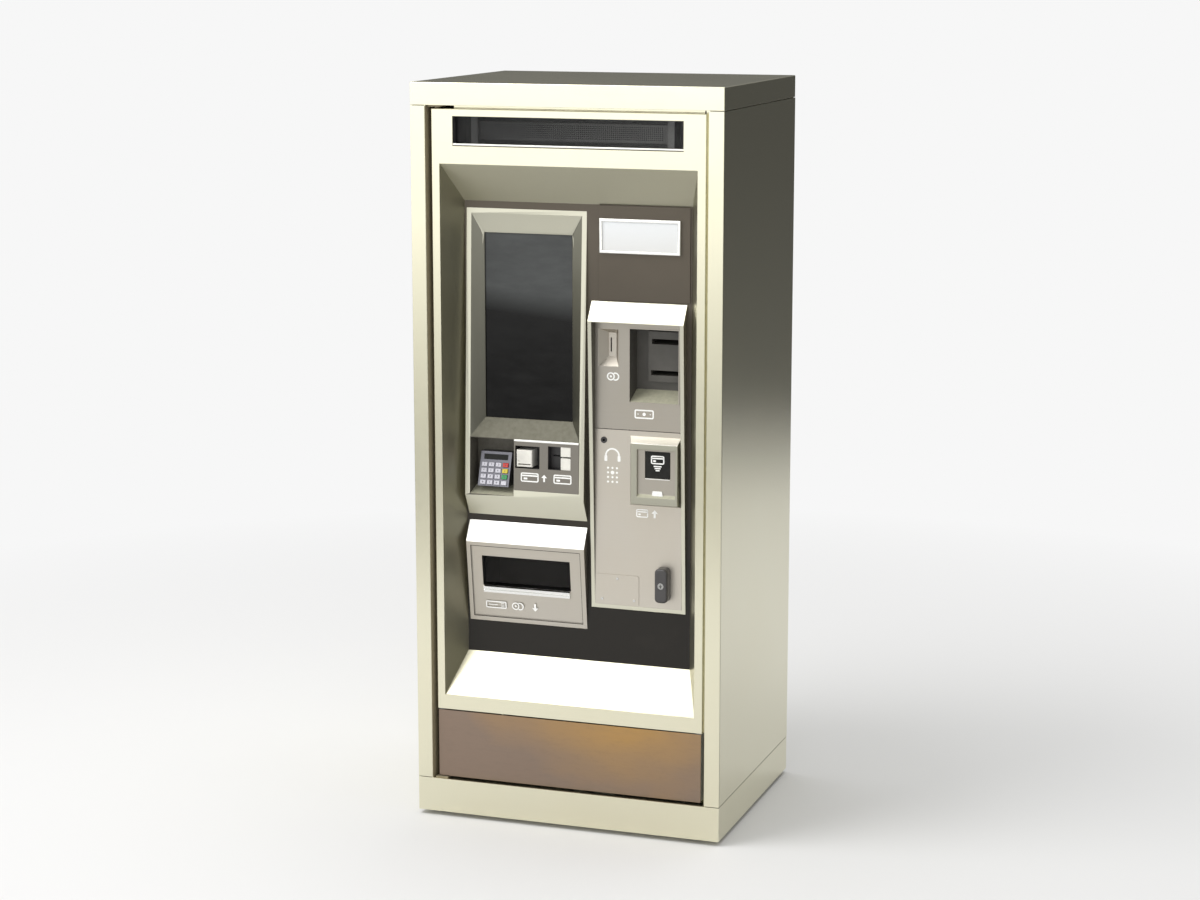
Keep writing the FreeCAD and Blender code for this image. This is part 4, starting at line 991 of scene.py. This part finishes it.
class TVM_OT_payment_signs(bpy.types.Operator):
    """Print the coin, note, headphone, key pad and reader pictures on the payment plates"""

    bl_idname = "tvm.payment_signs"
    bl_label = "Payment picture signs"

    def execute(self, context):
        s = sign_settings()
        coin_low, coin_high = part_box("coin_mouth")
        note_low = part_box("bill_acceptor")[0]
        jack_low, jack_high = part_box("audio_jack")
        tap_low, tap_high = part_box("tap_reader")
        upper_face = coin_low.y + 0.0004
        lower_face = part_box("payment_lower_panel")[0].y

        pen = Pen(Vector((middle_of(coin_low.x, coin_high.x) + 0.006, upper_face, coin_low.z - 0.024)))
        coin_picture(pen, s.coin_size, s.stroke)
        pen.sign("sign_coins")

        pen = Pen(Vector((note_low.x + 0.040, upper_face, note_low.z - 0.026)))
        note_picture(pen, 0.046, 0.019, s.stroke)
        pen.sign("sign_notes")

        x = middle_of(jack_low.x, jack_high.x) + 0.022
        pen = Pen(Vector((x, lower_face, jack_low.z - 0.030)))
        headphone_picture(pen, 0.034, s.stroke * 1.2)
        keypad_picture(pen.move(Vector((x, lower_face, jack_low.z - 0.078))), 0.046)
        pen.sign("sign_audio")

        place = Vector((middle_of(tap_low.x, tap_high.x) - 0.018, lower_face, tap_low.z - 0.020))
        pen = Pen(place - ACROSS * 0.016)
        card_picture(pen, 0.028, 0.018, s.stroke * 0.8)
        arrow_picture(pen.move(place + ACROSS * 0.016), 0.020, 90.0)
        pen.sign("sign_reader")
        return {"FINISHED"}


class TVM_OT_card_signs(bpy.types.Operator):
    """Print the card and arrow pictures under the two card slots, and fit a strip along the plate's top edge as a
    painted highlight
    """

    bl_idname = "tvm.card_signs"
    bl_label = "Card picture signs"

    def execute(self, context):
        stroke = sign_settings().stroke * 0.9
        low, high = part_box("card_panel")
        lean = top_edge_depth("card_panel", high.z)
        up, out = sloped_frame((low.y, low.z), (lean, high.z))
        first = Vector((low.x + 0.042, low.y, low.z)) + up * (high.z - low.z) * 0.27
        pen = Pen(first, up, out)
        card_picture(pen, 0.044, 0.020, stroke)
        arrow_picture(pen.move(first + ACROSS * 0.038), 0.018, 90.0)
        card_picture(pen.move(first + ACROSS * 0.086), 0.044, 0.020, stroke)
        pen.sign("sign_cards")

        # painted highlight: a bright steel strip along the plate's top edge
        pen = Pen(Vector((low.x, lean, high.z)), up, out, 0.0012)
        pen.slab(box_outline(0.0005, -0.0052, high.x - low.x - 0.0005, -0.0004))
        pen.piece("card_panel_painted_highlight", "bright_steel", "door", "hood_steel", 0.0004)
        return {"FINISHED"}


class TVM_OT_return_sign(bpy.types.Operator):
    """Print the ticket and coin pictures under the return window, and fit a dark bead round its plate as painted shade
    """

    bl_idname = "tvm.return_sign"
    bl_label = "Return picture sign"

    def execute(self, context):
        stroke = sign_settings().stroke * 0.9
        low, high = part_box("return_hood")
        tray_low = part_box("return_tray")[0]
        up, out, face = return_plate_plane()
        z = tray_low.z - 0.024
        place = Vector((tray_low.x + 0.036, face(z), z))
        pen = Pen(place, up, out)
        pen.band(box_outline(-0.026, -0.008, 0.026, 0.008, 0.002), stroke, True)
        for v in (-0.004, 0.0, 0.004):
            pen.slab(box_outline(0.013, v - 0.0008, 0.022, v + 0.0008))
        pen.slab(box_outline(-0.020, -0.001, 0.004, 0.001))
        pen.move(place + ACROSS * 0.052)
        pen.band(arc_path(0, 0, 0.0085, 0, 360, 28), stroke)
        pen.slab(disc_outline(0, 0, 0.003, 16))
        pen.band(arc_path(0.0115, 0, 0.0085, -118, 118, 20), stroke)
        arrow_picture(pen.move(place + ACROSS * 0.104), 0.020, -90.0)
        pen.sign("sign_return")

        # painted shade: a dark rubber bead round the plate stands for the shadow line at its rim
        rim = 0.0105
        hood_top = 0.050
        edge = rim + 0.0008
        foot = low.z + edge
        rise = (high.z - hood_top - rim - foot) / up.z
        half = (high.x - low.x) / 2 - edge
        pen = Pen(Vector((middle_of(low.x, high.x), face(foot), foot)), up, out, 0.0004)
        pen.band(box_outline(-half, 0.0, half, rise), 0.0014, True)
        pen.piece("return_painted_shade_bead", "rubber", "door", "feet_rubber")
        return {"FINISHED"}


class TVM_OT_contactless_window(bpy.types.Operator):
    """Fit the contactless reader's dark window with a plain card picture and its tongue"""

    bl_idname = "tvm.contactless_window"
    bl_label = "Contactless window"

    def execute(self, context):
        low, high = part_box("tap_reader")
        wide = high.x - low.x
        tall = high.z - low.z
        x0 = low.x + wide * 0.347
        x1 = low.x + wide * 0.837
        z0 = low.z + tall * 0.425
        z1 = low.z + tall * 0.813
        x = middle_of(x0, x1)
        z = middle_of(z0, z1)
        face = low.y + 0.0062
        gap = 0.0003
        half_w = (x1 - x0) / 2 - gap
        half_h = (z1 - z0) / 2 - gap
        pen = Pen(Vector((x, face + 0.0032, z)), thick=0.003)
        pen.slab(box_outline(-half_w, -half_h, half_w, half_h, 0.003))
        pen.piece("tap_window", "dark_pane_solid", "door", "black_plastic", 0.0005)

        pen = Pen(Vector((x, face + 0.0002, z + 0.002)))
        hand_card_picture(pen, 0.050, sign_settings().stroke * 0.9)
        pen.sign("sign_tap")

        pen = Pen(Vector((x, face, low.z + tall * 0.176)), thick=0.003)
        pen.slab([(-0.014, 0.0), (0.014, 0.0), (0.012, 0.012), (-0.012, 0.012)])
        # painted highlight: the thin white strip just under the window
        pen.thick = 0.0012
        pen.move(Vector((x, face, z0 - 0.0024)))
        pen.slab(box_outline(-half_w, 0.0, half_w, 0.0016))
        pen.piece("tap_tongue", "picture_white", "door", "hood_steel", 0.0006)
        return {"FINISHED"}


class TVM_OT_sign_window(bpy.types.Operator):
    """Fit the header sign's smoked pane, a bar on its lip as a painted highlight, and its lamp board"""

    bl_idname = "tvm.sign_window"
    bl_label = "Header sign"

    def execute(self, context):
        low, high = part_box("sign_housing")
        wall = 0.0022
        half = (high.x - low.x) / 2 - wall
        x = middle_of(low.x, high.x)
        pen = Pen(Vector((x, low.y + 0.020, low.z + wall)), thick=0.0035)
        pen.slab(box_outline(-half, 0.0, half, high.z - low.z - 2 * wall))
        pen.piece("sign_pane", "dark_pane", "door", "screen")

        # painted highlight: a bright steel bar at the front of the sign's lip
        pen = Pen(Vector((x, low.y + 0.0008, low.z + wall + 0.0020)), thick=0.0026)
        pen.slab(box_outline(-half, 0.0, half, 0.0040))
        pen.piece("sign_painted_highlight", "bright_steel", "door", "hood_steel", 0.0006)

        rows = 7
        columns = 92
        pitch = 0.0049
        lamp_radius = 0.0017
        pen = Pen(Vector((x, low.y + 0.0505, middle_of(low.z, high.z))), thick=0.0006)
        for row in range(rows):
            for column in range(columns):
                u = (column - (columns - 1) / 2) * pitch
                v = (row - (rows - 1) / 2) * pitch
                pen.slab(disc_outline(u, v, lamp_radius, 6))
        pen.piece("sign_lamps", "picture_dark", "door", "black_plastic")
        return {"FINISHED"}


class TVM_OT_key_legends(bpy.types.Operator):
    """Print the numbers and plain figures on the keys, and fit the pad's small display"""

    bl_idname = "tvm.key_legends"
    bl_label = "Key legends"

    def execute(self, context):
        for row, figures in enumerate(KEY_FACES, 1):
            for column, figure in enumerate(figures, 1):
                node = "key_%d%d" % (row, column)
                name = "legend_%d%d" % (row, column)
                place, up, out = key_plane(node)
                if figure.isdigit():
                    number_piece(name, figure, place, up, out, node)
                elif figure != "blank":
                    pen = Pen(place, up, out, LEGEND_FILM)
                    key_figure(pen, figure, LEGEND_SIZE * 0.8)
                    pen.piece(name, "picture_dark", node, "black_plastic")
        low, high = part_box("keypad_body")
        place, up, out = key_plane("key_12")
        place.x = middle_of(low.x, high.x)
        pen = Pen(place + up * 0.0195 - out * 0.0042, up, out, 0.0008)
        pen.slab(box_outline(-0.031, -0.0065, 0.031, 0.0065, 0.001))
        pen.piece("keypad_window", "dark_pane_solid", "door", "screen")
        return {"FINISHED"}


class TVM_OT_fasteners(bpy.types.Operator):
    """Fit the access plate and rear panel screws"""

    bl_idname = "tvm.fasteners"
    bl_label = "Screws"

    def execute(self, context):
        low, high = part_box("access_plate")
        inset = 0.010
        spots = (
            (middle_of(low.x, high.x), high.z - inset),
            (low.x + 0.016, low.z + inset),
            (high.x - 0.012, low.z + inset),
        )
        tool = bmesh.new()
        for x, z in spots:
            add_screw(tool, Vector((x, low.y, z)), sign_settings().screw_radius, 0.0011, OUT, ACROSS)
        mesh_piece("access_plate_screws", tool, "turned", "door", True)

        low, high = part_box("rear_panel")
        rows = 6
        end = 0.05
        tool = bmesh.new()
        for x in (low.x + 0.012, high.x - 0.012):
            for row in range(rows):
                z = low.z + end + (high.z - low.z - 2 * end) * row / (rows - 1)
                add_screw(tool, Vector((x, high.y, z)), 0.005, 0.0018, BACK, -ACROSS)
        mesh_piece("rear_panel_screws", tool, "turned", "cabinet", True)
        return {"FINISHED"}


class TVM_OT_door_seal(bpy.types.Operator):
    """Fit the rubber seal round the back of the door"""

    bl_idname = "tvm.door_seal"
    bl_label = "Door seal"

    def execute(self, context):
        low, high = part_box("door_frame")
        inset = 0.006
        half = (high.x - low.x) / 2 - inset
        tall = high.z - low.z - 2 * inset
        pen = Pen(Vector((0.0, high.y, low.z + inset)), out=BACK, thick=0.0045)
        pen.band(box_outline(-half, 0.0, half, tall, 0.012, 6), 0.008, True)
        round_edges(pen.piece("door_seal", "rubber", "door", "feet_rubber"), 0.0015, 60.0)
        return {"FINISHED"}


# ------------------------------------------------------------------ studio
SKY_BRIGHT = ((0.36, 0.17), (0.405, 0.24), (0.425, 0.36), (0.45, 1.06), (0.53, 1.14), (0.64, 0.72), (0.85, 0.36))
SKY_DIM = ((0.36, 0.10), (0.47, 0.045), (0.56, 0.07), (0.70, 0.22), (0.90, 0.42))


def studio_floor(s):
    """Round pale floor that fades into the backdrop towards its rim."""
    tool = bmesh.new()
    bmesh.ops.create_circle(tool, cap_ends=True, radius=s.floor_size, segments=96)
    mesh = bpy.data.meshes.new("studio_floor")
    tool.to_mesh(mesh)
    tool.free()
    r = new_recipe("studio_floor")
    colour = tuple(s.floor_colour)
    tint = r.blend(r.remap(r.noise(3.0, 3.0, 0.5), 0.0, 1.0), colour, shade(colour, 0.985))
    in_view = r.node("ShaderNodeLightPath").outputs["Is Camera Ray"]
    seen = r.blend(in_view, tint, shade(colour, s.floor_seen))
    r.dress({"Base Color": seen, "Roughness": 0.7, "Specular IOR Level": 0.1})
    reach = r.measure("LENGTH", r.place)
    ahead = r.measure("DOT_PRODUCT", r.place, tuple(part * FRONT_PULL for part in BRIGHT_SIDE))
    spread = r.add(reach, r.reckon("MAXIMUM", ahead, 0.0))
    far = r.reckon("MULTIPLY", r.remap(reach, 0.0, 1.0, BACKDROP_FROM, BACKDROP_TO), in_view)
    fade = r.remap(spread, 0.0, 1.0, s.floor_size * FLOOR_FADE_FROM, s.floor_size)
    glow = r.node("ShaderNodeEmission", {"Color": (*s.backdrop, 1.0)})
    clear = r.node("ShaderNodeBsdfTransparent")
    surface = r.node("ShaderNodeMixShader", {0: far, 1: r.shader.outputs[0], 2: glow.outputs[0]})
    mix = r.node("ShaderNodeMixShader", {0: fade, 1: surface.outputs[0], 2: clear.outputs[0]})
    r.feed(r.tree.nodes["Material Output"].inputs["Surface"], mix.outputs[0])
    mesh.materials.append(r.owner)
    floor = bpy.data.objects.new("studio_floor", mesh)
    bpy.context.scene.collection.objects.link(floor)


def soft_light(name, place, target, size, power, colour):
    data = bpy.data.lights.new(name, "AREA")
    data.shape = "DISK"
    data.size = size
    data.energy = power
    data.color = colour
    light = bpy.data.objects.new(name, data)
    bpy.context.scene.collection.objects.link(light)
    light.location = place
    light.rotation_euler = (Vector(target) - Vector(place)).to_track_quat("-Z", "Y").to_euler()


def height_ramp(recipe, height, stops, tint):
    """Brightness against height in the surroundings, from straight down (0) to straight up (1)."""
    ramp = recipe.node("ShaderNodeValToRGB", {"Fac": height})
    elements = ramp.color_ramp.elements
    for place, value in stops[2:]:
        elements.new(place)
    for element, (place, value) in zip(elements, stops):
        element.position = place
        element.color = (*(value * part for part in tint), 1.0)
    return ramp.outputs["Color"]


def sky(scene):
    """Soft studio surroundings: bright to the front left, dim low down behind and to the right."""
    world = bpy.data.worlds.new("studio")
    scene.world = world
    r = Recipe(world, "Generated")
    toward = r.remap(r.measure("DOT_PRODUCT", r.place, BRIGHT_SIDE), 0.0, 1.0, -0.35, 0.60)
    height = r.remap(r.axis("Z"), 0.0, 1.0, -1.0, 1.0)
    bright = height_ramp(r, height, SKY_BRIGHT, (1.0, 1.0, 0.985))
    dim = height_ramp(r, height, SKY_DIM, (1.0, 1.0, 0.96))
    sockets = {0: r.blend(toward, dim, bright), "Scale": scene.tvm_studio.sky_strength}
    lit = r.node("ShaderNodeVectorMath", sockets, operation="SCALE").outputs["Vector"]
    in_view = r.node("ShaderNodeLightPath").outputs["Is Camera Ray"]
    background = r.tree.nodes["Background"]
    r.feed(background.inputs["Color"], r.blend(in_view, lit, tuple(scene.tvm_studio.backdrop)))
    background.inputs["Strength"].default_value = 1.0


class TVM_OT_studio(bpy.types.Operator):
    """Set up the pale floor, soft lights and camera"""

    bl_idname = "tvm.studio"
    bl_label = "Studio"

    def execute(self, context):
        scene = context.scene
        s = scene.tvm_studio
        studio_floor(s)
        sky(scene)
        soft_light("key_light", (-2.4, -2.2, 4.9), (0.0, 0.0, 0.9), 3.2, s.key_power, (1.0, 0.99, 0.97))
        soft_light("top_light", (0.4, 0.6, 5.2), (0.0, 0.0, 0.8), 3.6, s.top_power, (1.0, 1.0, 1.0))
        camera_data = bpy.data.cameras.new("camera")
        camera_data.lens = s.lens
        camera_data.sensor_width = 36.0
        camera_data.clip_end = 100.0
        camera = bpy.data.objects.new("camera", camera_data)
        scene.collection.objects.link(camera)
        camera.location = s.camera_place
        camera.rotation_euler = Vector(s.camera_view).to_track_quat("-Z", "Y").to_euler()
        scene.camera = camera
        scene.view_settings.view_transform = "Standard"
        return {"FINISHED"}


class TVM_PT_panel(bpy.types.Panel):
    """Lists the machine's finishing steps in the order they run"""

    bl_idname = "TVM_PT_panel"
    bl_label = "Ticket Machine"
    bl_space_type = "VIEW_3D"
    bl_region_type = "UI"
    bl_category = "Ticket Machine"

    def draw(self, context):
        layout = self.layout
        for operator in STEPS:
            layout.operator(operator.bl_idname)
        for group in ("tvm_finish", "tvm_signs", "tvm_studio"):
            settings = getattr(context.scene, group)
            column = layout.box().column()
            for name in settings.__annotations__:
                column.prop(settings, name)


STEPS = (
    TVM_OT_metal_finishes,
    TVM_OT_second_finishes,
    TVM_OT_payment_signs,
    TVM_OT_card_signs,
    TVM_OT_return_sign,
    TVM_OT_contactless_window,
    TVM_OT_sign_window,
    TVM_OT_key_legends,
    TVM_OT_fasteners,
    TVM_OT_door_seal,
    TVM_OT_studio,
)
CLASSES = (TVM_PG_finish, TVM_PG_signs, TVM_PG_studio) + STEPS + (TVM_PT_panel,)


def register():
    for item in CLASSES:
        bpy.utils.register_class(item)
    bpy.types.Scene.tvm_finish = bpy.props.PointerProperty(type=TVM_PG_finish)
    bpy.types.Scene.tvm_signs = bpy.props.PointerProperty(type=TVM_PG_signs)
    bpy.types.Scene.tvm_studio = bpy.props.PointerProperty(type=TVM_PG_studio)


def unregister():
    del bpy.types.Scene.tvm_studio
    del bpy.types.Scene.tvm_signs
    del bpy.types.Scene.tvm_finish
    for item in reversed(CLASSES):
        bpy.utils.unregister_class(item)


def main():
    register()
    for operator in STEPS:
        group, step = operator.bl_idname.split(".")
        getattr(getattr(bpy.ops, group), step)()


if __name__ == "__main__":
    main()
